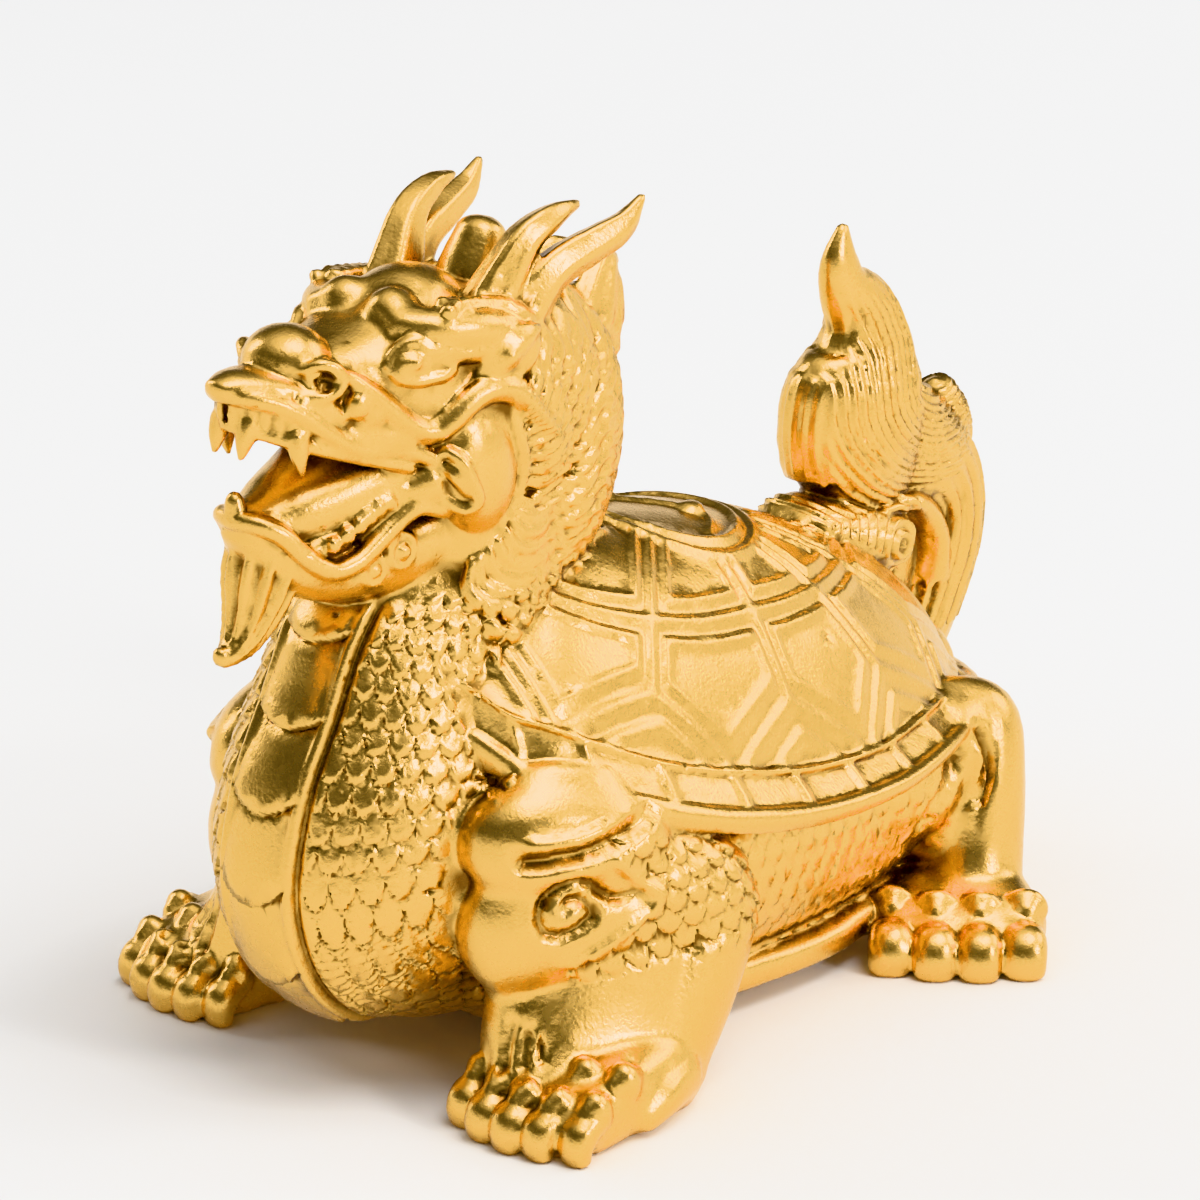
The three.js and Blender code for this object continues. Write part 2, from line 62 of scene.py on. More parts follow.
# Body of the casting: neck and chest, trunk, belly plate, upper arms, haunches, skull
# and jaw. They are the broad masses of the wax model, worked together with the thumb
# until one runs into the next, and then cast in brass in one piece. Millimetres.
MM = 0.001
SET_BACK = 4.801  # the forms are drawn about the shell, and the figure's middle is ahead of it
body = bmesh.new()


def smooth_path(points, places):
    """Points on a smooth path through all of `points`, at places from 0 to 1."""
    points = np.asarray(points, float)
    ends = np.vstack([2 * points[0] - points[1], points, 2 * points[-1] - points[-2]])
    along = np.clip(places, 0, 1) * (len(points) - 1)
    first = np.minimum(along.astype(int), len(points) - 2)
    f = (along - first)[:, None]
    a, b, c, d = (ends[first + k] for k in range(4))
    return 0.5 * (2 * b + (c - a) * f + (2 * a - 5 * b + 4 * c - d) * f**2 + (3 * b - 3 * c + d - a) * f**3)


def spine(stations, places, side):
    """Middle line of a form, its half widths and its three directions at `places`."""
    line = smooth_path(stations, places)
    step = 0.002
    tangent = (smooth_path(stations, places + step) - smooth_path(stations, places - step))[:, :3]
    tangent /= np.linalg.norm(tangent, axis=1)[:, None]
    across = np.asarray(side, float) - (tangent @ np.asarray(side, float))[:, None] * tangent
    across /= np.linalg.norm(across, axis=1)[:, None]
    over = np.cross(tangent, across)
    return line[:, :3], np.maximum(line[:, 3:5], 0.05), tangent, across, over


def form(wax, stations, side=(1, 0, 0), square=2.0, ribs=0, groove=0.13, step=0.6, both=False):
    """A rounded form along a smooth path. A station is x, y, z, half width, half height;
    the half width lies along `side`, `ribs` grooves run along it, `both` adds its twin."""
    stations = np.array(stations, float)
    length = np.linalg.norm(np.diff(stations[:, :3], axis=0), axis=1).sum()
    around = max(12, 9 * ribs, int(2 * math.pi * stations[:, 3:].max() / step))
    along = max(6, int(length / step))
    bend = np.linspace(0, math.pi / 2, 6)[:-1]
    place = np.concatenate([np.zeros(5), np.linspace(0, 1, along + 1), np.ones(5)])
    shrink = np.concatenate([np.sin(bend), np.ones(along + 1), np.sin(bend[::-1])])
    shift = np.concatenate([-np.cos(bend), np.zeros(along + 1), np.cos(bend[::-1])])
    rings = len(place) - 1
    centre, width, tangent, across, over = spine(stations, place, side)
    centre = centre + tangent * (0.75 * shift * width.min(axis=1))[:, None]
    ball = bmesh.new()
    bmesh.ops.create_uvsphere(ball, u_segments=around, v_segments=rings, radius=1)
    mesh = bpy.data.meshes.new("form")
    ball.to_mesh(mesh)
    ball.free()
    on_ball = np.empty(3 * len(mesh.vertices), np.float32)
    mesh.vertices.foreach_get("co", on_ball)
    on_ball = on_ball.reshape(-1, 3).astype(float)
    row = np.rint(np.arccos(np.clip(on_ball[:, 2], -1, 1)) / math.pi * rings).astype(int)
    angle = np.arctan2(on_ball[:, 1], on_ball[:, 0])
    c, s = np.cos(angle), np.sin(angle)
    reach = shrink[row] * (1 + (groove * np.cos(ribs * angle) if ribs else 0))
    out = np.sign(c) * np.abs(c) ** (2 / square) * width[row, 0] * reach
    up = np.sign(s) * np.abs(s) ** (2 / square) * width[row, 1] * reach
    points = centre[row] + across[row] * out[:, None] + over[row] * up[:, None]
    add_wax(wax, mesh, points, both)


def add_wax(wax, mesh, points, both):
    """Adds a mesh to the wax with its points moved to `points`, and its twin if `both`."""
    for hand in (1, -1) if both else (1,):
        placed = (points * [hand, 1, 1] - [0, SET_BACK, 0]) * MM
        mesh.vertices.foreach_set("co", placed.astype(np.float32).ravel())
        wax.from_mesh(mesh)
    bpy.data.meshes.remove(mesh)


def lump(wax, centre, half, turn=0.0, both=False):
    """A rounded lump: centre, half sizes and a turn about the sideways line."""
    ball = bmesh.new()
    bmesh.ops.create_icosphere(ball, subdivisions=5 if max(half) > 4 else 4, radius=1)
    mesh = bpy.data.meshes.new("lump")
    ball.to_mesh(mesh)
    ball.free()
    points = np.empty(3 * len(mesh.vertices), np.float32)
    mesh.vertices.foreach_get("co", points)
    points = points.reshape(-1, 3) * np.array(half)
    c, s = math.cos(turn), math.sin(turn)
    y, z = points[:, 1] * c - points[:, 2] * s, points[:, 1] * s + points[:, 2] * c
    add_wax(wax, mesh, np.stack([points[:, 0], y, z], axis=1) + np.array(centre), both)


neck = [(0, -22, 66, 10.4, 10), (0, -25.6, 58, 11.8, 12.8), (0, -28.8, 50, 13.2, 17.8),
        (0, -31, 42, 15.6, 20), (0, -32, 34, 17.2, 24), (0, -31.2, 27, 17.8, 25.8),
        (0, -27.5, 22.2, 16.6, 21), (0, -22, 17, 14.5, 17), (0, -17, 13, 11, 9.6)]
trunk = [(0, -28, 20, 17, 15.5), (0, -16, 18.5, 24, 15.5), (0, 0, 18.2, 27, 15.4), (0, 20, 18.6, 27.2, 15.2),
         (0, 34, 20, 24.5, 14.4), (0, 45, 21.6, 18.5, 12), (0, 53, 23, 11, 7.5)]
plastron = [(0, -27, 6.6, 12, 3.4), (0, -14, 5.2, 21.4, 3.0), (0, 4, 4.6, 25.2, 2.6), (0, 18, 4.8, 25.4, 2.6),
            (0, 32, 6.8, 21.2, 3), (0, 45, 10.6, 14, 3.6)]
form(body, neck)
form(body, trunk, square=2.6)
form(body, plastron, square=5)

arm_side = (math.cos(0.45), -math.sin(0.45), 0)  # the arm is a slab set slantwise
upper_arm = [(21, -33, 25.5, 6, 8), (24.6, -24, 24, 6.8, 9), (27.6, -16, 21.4, 6, 7.6),
             (28.8, -12.4, 18, 5, 5.8)]
form(body, upper_arm, both=True)
form(body, [(21.5, -29.5, 37.4, 3.6, 7), (22.3, -30.6, 33.4, 5.8, 11.4), (22.6, -31, 30.4, 6.3, 12.2),
            (22.5, -31, 27, 5.9, 10.6), (22.6, -31.2, 22.8, 6.5, 12.3), (23, -30.8, 19, 6.1, 11.6),
            (23.4, -30.2, 16.6, 4.4, 8.6)], side=arm_side, square=2.4, both=True)
form(body, [(28.6, -13.6, 18.4, 5.2, 6), (28.8, -16.8, 13.4, 5.6, 6.4), (28.4, -20.4, 8.4, 6.2, 6.8),
            (27.8, -24, 4, 7.2, 6.8)], square=2.3, both=True)
form(body, [(24, -28, 20, 5, 10.6), (24.6, -28.2, 14, 5.8, 12.4), (25.4, -29.4, 8, 6.8, 13.0),
            (26.4, -31, 3, 8, 12.6)], side=arm_side, square=2.4, both=True)
lump(body, (20, 27.5, 20), (8.8, 14.5, 8.6), -0.12, both=True)
lump(body, (23, 37, 22), (6.2, 8.2, 7.4), both=True)
lump(body, (22.6, 35.6, 13), (6.4, 6, 8), both=True)
shin = [(21.5, 37.6, 25.6, 4.4, 4.6), (24.6, 41.2, 24.4, 4.6, 4.8), (26.6, 39.6, 18, 4.8, 5.4),
        (27.8, 37.6, 10, 5.0, 5.8), (28.2, 35.6, 5, 6.4, 6.4)]
form(body, shin, both=True)

skull = [(0, -57, 83.4, 3.4, 1.5), (0, -52, 82.6, 5.4, 2.9), (0, -48, 82, 6.5, 4.2), (0, -45, 82, 7.2, 5.4),
         (0, -41, 81.4, 8.6, 7.4), (0, -37, 80.6, 10.2, 9.3), (0, -31, 78.4, 11.6, 11.8),
         (0, -25, 76, 12.4, 14), (0, -18, 74, 11.4, 14.4), (0, -12, 72, 9.4, 13)]
mane = [(0, -15.4, 85, 7.2, 6.4), (0, -13, 79, 9.4, 9.2), (0, -13.4, 71, 10.8, 10), (0, -16.4, 63, 11.2, 9.6),
        (0, -19.4, 58, 10.4, 7)]
form(body, skull, square=2.4)
form(body, mane)
lump(body, (0, -31.6, 87.4), (6.2, 7, 4.9))
lump(body, (3.4, -37.2, 88.9), (2.9, 3.0, 2.7), both=True)
form(body, [(5.2, -38.2, 87.9, 2.6, 2.2), (8.2, -35.4, 87.3, 2.8, 2.5), (10, -31, 86.7, 2.7, 2.6),
            (10.4, -26.6, 85.8, 2.3, 2.4)], both=True)
form(body, [(0, -57, 80.8, 2.6, 1.3), (0, -50, 78.8, 4.8, 2.2), (0, -43, 77, 5.8, 3)])
form(body, [(0, -28, 66, 9.6, 6.4), (0, -37, 63, 8.8, 5.4), (0, -46, 62.2, 7.2, 4.4),
            (0, -52.4, 64.4, 5.4, 3.3), (0, -57, 68.2, 3.0, 1.7)], square=2.4)
lump(body, (10.2, -31.4, 71), (3.4, 5.2, 7.2), 0.15, both=True)
lump(body, (7.6, -27.6, 62.4), (4.4, 7.4, 6), both=True)

# Feet: each stands flat, a broad pad with rows of round knuckles and blunt claws along
# its front edge. They were modelled with the leg and are cast with it.
hind_x, hind_y, hind_heading = 30.4, 30.2, 0.66
hind_side = (math.cos(hind_heading), math.sin(hind_heading), 0)
form(body, [(27.6, -21, 4, 7, 5), (27.4, -28, 4.2, 8.6, 5.4), (27.3, -35, 3.8, 9.4, 5),
            (27.3, -40, 2.9, 9.2, 4.1), (27.3, -42.4, 2.2, 8.6, 3)], square=3, both=True)
form(body, [(hind_x - 2.6, hind_y + 4.0, 4, 8.6, 5), (hind_x, hind_y, 3.6, 10.6, 4.6),
            (hind_x + 2.2, hind_y - 2.8, 3, 10.2, 3.8), (hind_x + 3.4, hind_y - 4.4, 2.2, 9.8, 3)],
     side=hind_side, square=3, both=True)
form(body, [(34, -24, 3.6, 2.4, 3), (35.8, -29, 3.4, 2, 2.4), (36.2, -33, 2, 1.5, 1.7)], both=True)


def toes(wax, x, y, heading, foremost, count, spacing, knuckles, claw):
    """Knuckles and claws side by side in an arc, ahead of x, y."""
    ahead = np.array([math.sin(heading), -math.cos(heading), 0])
    across = np.array([math.cos(heading), math.sin(heading), 0])
    half = spacing / 2
    for place in np.arange(count) - (count - 1) / 2:
        root = np.array([x, y, 0]) + across * place * spacing - ahead * 0.5 * (place - foremost) ** 2
        for reach, z, long, high in knuckles:
            ball = [(*(root + ahead * (reach + long * f))[:2], z + f * (0.4 - long / 3), half * w, high * w)
                    for f, w in ((-0.8, 0.62), (-0.3, 1.0), (0.3, 1.02), (0.8, 0.66))]
            form(wax, ball, side=across, both=True, step=0.3)
        stations = [(*(root + ahead * out)[:2], z, half * wide, deep) for out, z, wide, deep in claw]
        form(wax, stations, side=across, square=2.3, both=True, step=0.3)


def fuse(name, wax, grain, smoothing):
    """Fuses overlapping forms into one closed skin and smooths it over."""
    mesh = bpy.data.meshes.new(name)
    wax.to_mesh(mesh)
    wax.free()
    whole = bpy.data.objects.new(name, mesh)
    bpy.context.scene.collection.objects.link(whole)
    fused = whole.modifiers.new("fused", "REMESH")
    fused.mode = "VOXEL"
    fused.voxel_size = grain * MM
    worked = whole.modifiers.new("smoothed", "SMOOTH")
    worked.factor = 0.5
    worked.iterations = smoothing
    done = bpy.data.meshes.new_from_object(whole.evaluated_get(bpy.context.evaluated_depsgraph_get()))
    bpy.data.objects.remove(whole)
    bpy.data.meshes.remove(mesh)
    return done


# the broad masses are smoothed into each other first, and what is laid on them stays crisp
GRAIN = 0.3
SOFT_GRAIN, SOFTENING = 0.5, 9
soft = fuse("soft", body, SOFT_GRAIN, SOFTENING)
casting = bmesh.new()
casting.from_mesh(soft)
soft_skin = BVHTree.FromBMesh(casting)
bpy.data.meshes.remove(soft)

toes(casting, 27.3, -33.7, 0, -0.3, 5, 3.9, ((4.0, 6.9, 2.0, 2.5), (8.7, 5.1, 1.9, 2.5)),
     ((9.6, 4.0, 1.0, 1.6), (11.1, 3.4, 1.05, 1.9), (11.9, 2.2, 1.04, 1.7), (11.9, 0.7, 0.98, 1.3)))
toes(casting, hind_x, hind_y, hind_heading, 0, 4, 5.3, ((2.8, 6.0, 1.7, 2.5),),
     ((6.4, 4.0, 0.9, 1.9), (8.2, 3.7, 0.99, 2.3), (9.4, 2.4, 0.99, 2.1), (9.7, 0.8, 0.95, 1.6)))


def pressed(line, proud=0.2):
    """The line laid on the soft wax, and standing proud of it."""
    laid = []
    for spot in line:
        near, normal = soft_skin.find_nearest((Vector(spot) - Vector((0, SET_BACK, 0))) * MM)[:2]
        laid.append(tuple((near / MM) + normal * proud + Vector((0, SET_BACK, 0))))
    return laid


# Shell: a domed shield over the back. Bundles of three raised lines part its plates, a
# double ring holds the two-part sign, and a rim of small sunken plates stands on a thick lip.
SHELL_MIDDLE, SHELL_FRONT, SHELL_REAR, SHELL_HALF, DISC_Y = 11, 50, 47.5, 32.5, 8
INNER_WIDTH, INNER_FRONT, INNER_REAR = 0.86, 0.985, 0.93
EDGE_HEIGHT = [(-39, 42), (-37, 39.7), (-35, 37.2), (-32, 35.7), (-20, 31), (-9, 27.6), (4, 25.2), (16, 24.6),
               (36, 25), (48, 24), (60, 22.6)]
BAND_RISE = [(-37, 8.8), (-30, 8.4), (-20, 7), (-5, 6.2), (6, 5.2), (16, 4.6), (40, 4.2), (62, 3)]
CREST_HEIGHT = [(-39, 48), (-31, 54.5), (-25, 57.4), (-18, 58.8), (-12, 58.8), (-4, 57.2), (8, 55),
                (18, 52.3), (29, 48), (41, 42.2), (50, 35.6), (56, 30), (62, 25)]
RADIAL_SEAMS = [math.radians(a) for a in (29, 56, 83, 110, 137, 164)]
FORK = math.radians(13.5)
RING_PLACES = [(0, 0.72), (math.radians(45), 0.71), (math.radians(84), 0.65), (math.pi, 0.62)]
SEAM_SPACING, SEAM_LIFT = 1.75, 0.55
DISC_RADIUS, OUTER_RING = 10.7, 12.7
RIM_PLATES = 16
SIGN_HALF, SIGN_SWING, DOT = 9.6, 4.2, (1.7, 1.7, 0.9)


def eased(pairs, place):
    """Values read off a list of (place, value) pairs, in a smooth curve through them."""
    xs, ys = (np.array(v, float) for v in zip(*pairs))
    slope = np.gradient(ys, xs)
    place = np.clip(place, xs[0], xs[-1])
    i = np.clip(np.searchsorted(xs, place) - 1, 0, len(xs) - 2)
    span = xs[i + 1] - xs[i]
    f = (place - xs[i]) / span
    return ((1 + 2 * f) * (1 - f) ** 2 * ys[i] + f * (1 - f) ** 2 * span * slope[i]
            + f * f * (3 - 2 * f) * ys[i + 1] + f * f * (f - 1) * span * slope[i + 1])


def rim_line(angle):
    """The outline of the shell's rim: x and y at an angle from straight ahead."""
    c, s = np.cos(angle), np.sin(angle)
    rounding = np.where(c > 0, 3.0, 1.9)
    reach = (np.abs(c) ** rounding + np.abs(s) ** rounding) ** (-1 / rounding)
    return SHELL_HALF * s * reach, SHELL_MIDDLE - np.where(c > 0, SHELL_FRONT, SHELL_REAR) * c * reach


def inner_line(angle):
    """The foot of the dome, inside the plates of the rim."""
    x, y = rim_line(angle)
    share = np.where(y < SHELL_MIDDLE, INNER_FRONT, INNER_REAR)
    return x * INNER_WIDTH, SHELL_MIDDLE + (y - SHELL_MIDDLE) * share


def dome_height(x, y):
    """Height of the dome over x, y, without its lines."""
    ahead = y < SHELL_MIDDLE
    rounding = np.where(ahead, 3.0, 1.9)
    length = np.where(ahead, SHELL_FRONT * INNER_FRONT, SHELL_REAR * INNER_REAR)
    along = np.minimum(0.999, np.abs(y - SHELL_MIDDLE) / length)
    half = SHELL_HALF * INNER_WIDTH * (1 - along**rounding) ** (1 / rounding)
    foot = eased(EDGE_HEIGHT, y) + eased(BAND_RISE, y)
    crest = np.maximum(foot, eased(CREST_HEIGHT, y))
    return foot + (crest - foot) * (1 - np.minimum(1, np.abs(x) / half) ** 2.4)


def ring_place(angle):
    """Where the seam that rings the upper plates runs: its place on the dome."""
    return eased(RING_PLACES, np.abs(angle))


def dome_point(place, angle):
    """x and y on the dome: place 0 is the disc's middle and 1 the foot of the dome."""
    x, y = inner_line(angle)
    return np.stack([x * place, DISC_Y + (y - DISC_Y) * place], axis=-1)


def away_from_seams(spots):
    """Distance of each spot on the dome, seen from above, to the nearest seam's middle."""
    far = np.full(len(spots), 99.0)
    lines = []
    for hand in (1, -1):
        for angle in RADIAL_SEAMS:
            lines.append(dome_point(np.linspace(0.36, 0.88, 12), np.full(12, hand * angle)))
            for fork in (-FORK, FORK):
                ends = np.array([[0.88, angle], [1.02, angle + fork]])
                lines.append(dome_point(ends[:, 0], hand * ends[:, 1]))
    circle = np.linspace(-math.pi, math.pi, 121)
    lines.append(dome_point(ring_place(circle), circle))
    for line in lines:
        for start, end in zip(line[:-1], line[1:]):
            run = end - start
            share = np.clip((spots - start) @ run / (run @ run), 0, 1)
            away = spots - start - share[:, None] * run
            far = np.minimum(far, np.hypot(away[:, 0], away[:, 1]))
    return far


def ridge(away, width):
    """A raised rounded line: 1 at its middle and 0 past its edge."""
    return np.clip(1 - (away / width) ** 2, 0, 1)


def shell_relief(x, y):
    """The lines raised on the dome."""
    from_disc = np.hypot(x, y - DISC_Y)
    away = away_from_seams(np.stack([x, y], axis=1))
    lines = np.maximum(ridge(away, 0.66), ridge(away - SEAM_SPACING, 0.6))
    sunk = ridge(away, SEAM_SPACING + 0.9) ** 0.5
    lift = SEAM_LIFT * (lines * 1.25 - 0.45 * sunk)
    lift = np.where(from_disc < OUTER_RING + 0.6, 0, lift)
    return lift + 0.8 * ridge(from_disc - DISC_RADIUS, 0.8) + 0.7 * ridge(from_disc - OUTER_RING, 0.75)


def shell(wax):
    """The shell in one closed form: dome, band of rim plates, lip and underside."""
    around, dome_rows, band_rows = ((640, 130, 46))
    rings = dome_rows + band_rows + 12
    ball = bmesh.new()
    bmesh.ops.create_uvsphere(ball, u_segments=around, v_segments=rings, radius=1)
    mesh = bpy.data.meshes.new("shell")
    ball.to_mesh(mesh)
    ball.free()
    on_ball = np.empty(3 * len(mesh.vertices), np.float32)
    mesh.vertices.foreach_get("co", on_ball)
    on_ball = on_ball.reshape(-1, 3).astype(float)
    row = np.rint(np.arccos(np.clip(on_ball[:, 2], -1, 1)) / math.pi * rings).astype(int)
    angle = np.arctan2(on_ball[:, 0], on_ball[:, 1])
    rim_x, rim_y = rim_line(angle)
    foot_x, foot_y = inner_line(angle)
    edge, rise = eased(EDGE_HEIGHT, rim_y), eased(BAND_RISE, rim_y)
    # dome
    place = np.clip(row / dome_rows, 0, 1)
    spot = dome_point(place, angle)
    x, y = spot[:, 0], spot[:, 1]
    z = dome_height(x, y)
    on_dome = row <= dome_rows
    z = z + np.where(on_dome, shell_relief(x, y), 0)
    # band: a raised line, the sunken plates between their dividers, the thick lip
    q = np.clip((row - dome_rows) / band_rows, 0, 1)
    out = 1 - (1 - q) ** 1.5
    bulge = 1 + 0.012 * np.sin(math.pi * q)
    band_x = foot_x + (rim_x - foot_x) * out * bulge
    band_y = foot_y + (rim_y - foot_y) * out * bulge
    band_z = edge + rise * (1 - 0.94 * q**1.15)
    turn = np.abs(angle) / math.pi * RIM_PLATES
    divider = ridge(turn - np.round(turn), 0.09)
    plate = ((q > 0.14) & (q < 0.66)).astype(float) * (1 - divider)
    proud = 0.55 * ridge(q - 0.06, 0.08) - 0.6 * plate + 0.7 * ridge(q - 0.86, 0.2)
    normal = np.stack([rim_x * 0.8, (rim_y - SHELL_MIDDLE) * 0.8, np.full(len(q), 14.0)], axis=1)
    normal /= np.linalg.norm(normal, axis=1)[:, None]
    on_band = (row > dome_rows) & (q < 1)
    points = np.stack([x, y, z], axis=1)
    band = np.stack([band_x, band_y, band_z], axis=1) + normal * proud[:, None]
    points = np.where(on_band[:, None], band, points)
    # underside
    under = np.clip((row - dome_rows - band_rows) / 12, 0, 1)
    low = row >= dome_rows + band_rows
    low_x, low_y = rim_x * (1 - under), DISC_Y + (rim_y - DISC_Y) * (1 - under)
    low_z = edge - 0.06 * rise - 0.5 * np.minimum(1, under * 6)
    points = np.where(low[:, None], np.stack([low_x, low_y, low_z], axis=1), points)
    add_wax(wax, mesh, points, False)


shell(casting)
for dot_x, dot_y in ((-3.6, 4.4), (3.6, 11.6)):
    dot_z = float(dome_height(np.array([dot_x]), np.array([dot_y]))[0])
    lump(casting, (dot_x, dot_y, dot_z + 0.2), DOT)
# the line that parts the sign's two halves
sign = []
for t in np.linspace(-1, 1, 17):
    s_x, s_y = SIGN_HALF * t, DISC_Y + SIGN_SWING * math.sin(math.pi * t)
    s_z = float(dome_height(np.array([s_x]), np.array([s_y]))[0])
    sign.append((s_x, s_y, s_z, 0.6, 0.55))
form(casting, sign, side=(0, 1, 0))

# Head: nose, lips, teeth, eyes, brows, ears, horns, whiskers and beard, each pressed on
# to the wax as a roll, ball or flame and left crisp. They are cast with the head.
def roll(wax, line, thick, ends=0.45, ribs=0, groove=0.08):
    """A roll of wax laid on both sides of the figure, thinner at its ends."""
    last = len(line) - 1
    stations = [(*spot, *(2 * [thick * (ends if i in (0, last) else 1)])) for i, spot in enumerate(line)]
    form(wax, stations, both=True, step=0.3, ribs=ribs, groove=groove)


# nose and upper lip
lump(casting, (0, -49.8, 85.6), (4.9, 4.7, 3.9))
lump(casting, (4.9, -49.3, 84.6), (1.7, 2.5, 2.1), both=True)
form(casting, [(0, -59.8, 84.7, 1.8, 1.1), (0, -57.8, 84.6, 2.9, 1.6), (0, -54.8, 84, 4.4, 1.9),
               (0, -51, 83, 5.8, 1.8)])
roll(casting, [(0.2, -59.6, 83.9), (2.2, -58.2, 83.8), (4.2, -55.4, 82.7), (5.6, -52.4, 80.8),
               (6.4, -50, 78.8), (6.9, -47.6, 77), (7.5, -44.6, 75.8), (8.1, -41.8, 75.4),
               (8.9, -39.4, 74.6), (9.8, -37, 73.2)], 1.0, 0.8)
roll(casting, [(0.2, -58.6, 80.3), (3, -56.4, 79.5), (5, -53.6, 78.2), (6.2, -49.8, 76.6), (7.4, -45, 74.8),
               (8.8, -40, 73)], 0.72, 0.8)
# teeth and fangs
upper_teeth = smooth_path([(0.8, -58.6, 81.8), (2.6, -57.2, 81.7), (4.3, -55, 80.9), (5.6, -52.4, 79.6),
                           (6.5, -49.4, 77.9)], np.linspace(0, 1, 9))
for tooth in upper_teeth:
    lump(casting, tooth, (0.5, 0.55, 1.3), both=True)
lower_teeth = smooth_path([(5.2, -49.6, 66), (5.9, -46.8, 67.4), (6.3, -44.6, 68.7), (6.7, -42, 69.6),
                           (7.2, -38.6, 70.9)], np.linspace(0, 1, 8))
for tooth in lower_teeth:
    lump(casting, tooth + [1.4, 0, 0.2], (0.65, 0.8, 1.1), 0.5, both=True)
form(casting, [(2, -57.4, 80.6, 1.2, 1.3), (2, -58, 79, 1.0, 1.1), (2, -58.6, 77.2, 0.4, 0.4)], both=True,
     step=0.3)
form(casting, [(5.2, -53.4, 79, 1.1, 1.3), (5.5, -53.5, 77, 0.9, 1.1), (5.6, -53.2, 74.9, 0.35, 0.35)],
     both=True, step=0.3)
# tongue, gums, the bump of the chin and the lower lip
form(casting, [(0, -33, 72, 9.4, 7), (0, -40, 71.2, 8.6, 6), (0, -47, 69.7, 6.9, 4.8),
               (0, -52.4, 69.0, 5.0, 3.7), (0, -55.8, 69.2, 3.0, 2.1)])
form(casting, [(4.6, -51, 65.4, 1.4, 1.6), (5.4, -46, 67.2, 1.7, 1.9), (6.6, -41, 69.2, 1.9, 2.1),
               (8.6, -37, 70.6, 2.4, 2.8)], both=True)
form(casting, [(3.6, -54.6, 81.2, 1.2, 1.6), (4.5, -51, 79.8, 1.7, 2), (5.5, -47, 78, 1.9, 2.1),
               (6.8, -43.4, 77, 2, 2.1), (8, -40, 76.4, 1.8, 2.1)], both=True)
lump(casting, (0, -57.8, 71.0), (1.15, 1.15, 1.9))
roll(casting, [(0.2, -58.3, 69.6), (2.4, -57.2, 69.6), (4.4, -55, 68.1), (5.6, -52.6, 65.2),
               (6.6, -50, 63.4), (7.2, -47.4, 63.6), (7.6, -44.8, 65), (8, -42, 66.9), (8.9, -39.2, 68.5),
               (10, -36, 67.4)], 1.1, 0.8)
# nostril: a raised crescent round the hole
roll(casting, [(4.6, -52, 85.7), (5.7, -50.6, 86.3), (6.6, -49.2, 85.9), (7.0, -48.3, 84.6), (6.8, -49, 83.3),
               (6.1, -50.8, 82.8), (5.4, -52.2, 83.3)], 0.75, 0.5)
# muzzle: wrinkles, round bump and the fold under it
for wrinkle in (((4.7, -54.2, 83.1), (4.9, -52.7, 81.1), (4.9, -51.5, 79.5)),
                ((5.4, -52.9, 83.0), (5.5, -51.2, 80.9), (5.5, -49.6, 78.8)),
                ((6.0, -51.5, 82.7), (6.1, -49.6, 80.5), (5.9, -47.9, 78.3)),
                ((6.5, -50.2, 82.3), (6.5, -48.5, 80.3), (6.4, -46.8, 78.1))):
    roll(casting, pressed(wrinkle, 0.45), 0.75)
lump(casting, (5.2, -48.4, 82), (1.25, 2.8, 2), both=True)
lump(casting, (7.1, -44.2, 80), (1.7, 2.4, 2.2), both=True)
lump(casting, (7.4, -46.3, 81.3), (1.3, 1.7, 1.7), both=True)
roll(casting, pressed([(5.8, -46.8, 77.8), (6.8, -44.7, 77.5), (7.9, -43.0, 78.5), (8.5, -42.5, 79.8)],
                      0.3), 0.7)
# eye: ball and pupil between two pairs of lids
lump(casting, (8.6, -38.4, 84.6), (1.5, 3.3, 1.8), both=True)
lump(casting, (9.2, -36.3, 84.1), (1.2, 2, 1.4), both=True)
lump(casting, (9.9, -39.9, 84.9), (0.5, 0.6, 0.6), both=True)
UPPER_LID = [(7.8, -42.5, 84.9), (8.1, -41.2, 86.3), (8.6, -39.2, 86.9), (9.1, -37.2, 86.2),
             (9.7, -35.6, 84.5), (10.2, -34.7, 83.1)]
LOWER_LID = [(7.8, -42.5, 84.9), (8.5, -41.5, 83.4), (9.1, -39.6, 82.7), (9.7, -37.6, 82.7),
             (10.0, -35.9, 82.8), (10.2, -34.7, 83.1)]
for lid, thick in ((UPPER_LID, 0.75), (LOWER_LID, 0.6)):
    roll(casting, pressed(lid, 0.35), thick)
# brow: a fringe that hangs over the eye, and rows of curls behind it up to the horn
for f in np.linspace(0, 1, 11):
    root = np.array([8.2 + 2.8 * math.sin(1.6 * f), -38.4 + 11 * f, 87.2 - 1.4 * f])
    roll(casting, pressed([root, root + [0.5, 0.9, -1.5], root + [0.4, 2, -2.8]], 0.35), 0.55)
for row, lift_up in enumerate((0.4, 2.0, 3.4)):
    for f in np.linspace(0.25, 1, 9 - row):
        curl = (8.6 + 2.0 * f - 0.8 * row, -38 + 12.4 * f + 0.6 * row, 87.6 + lift_up - 0.6 * f)
        lump(casting, pressed([curl], 0.35)[0], (0.85, 0.85, 0.85), both=True)
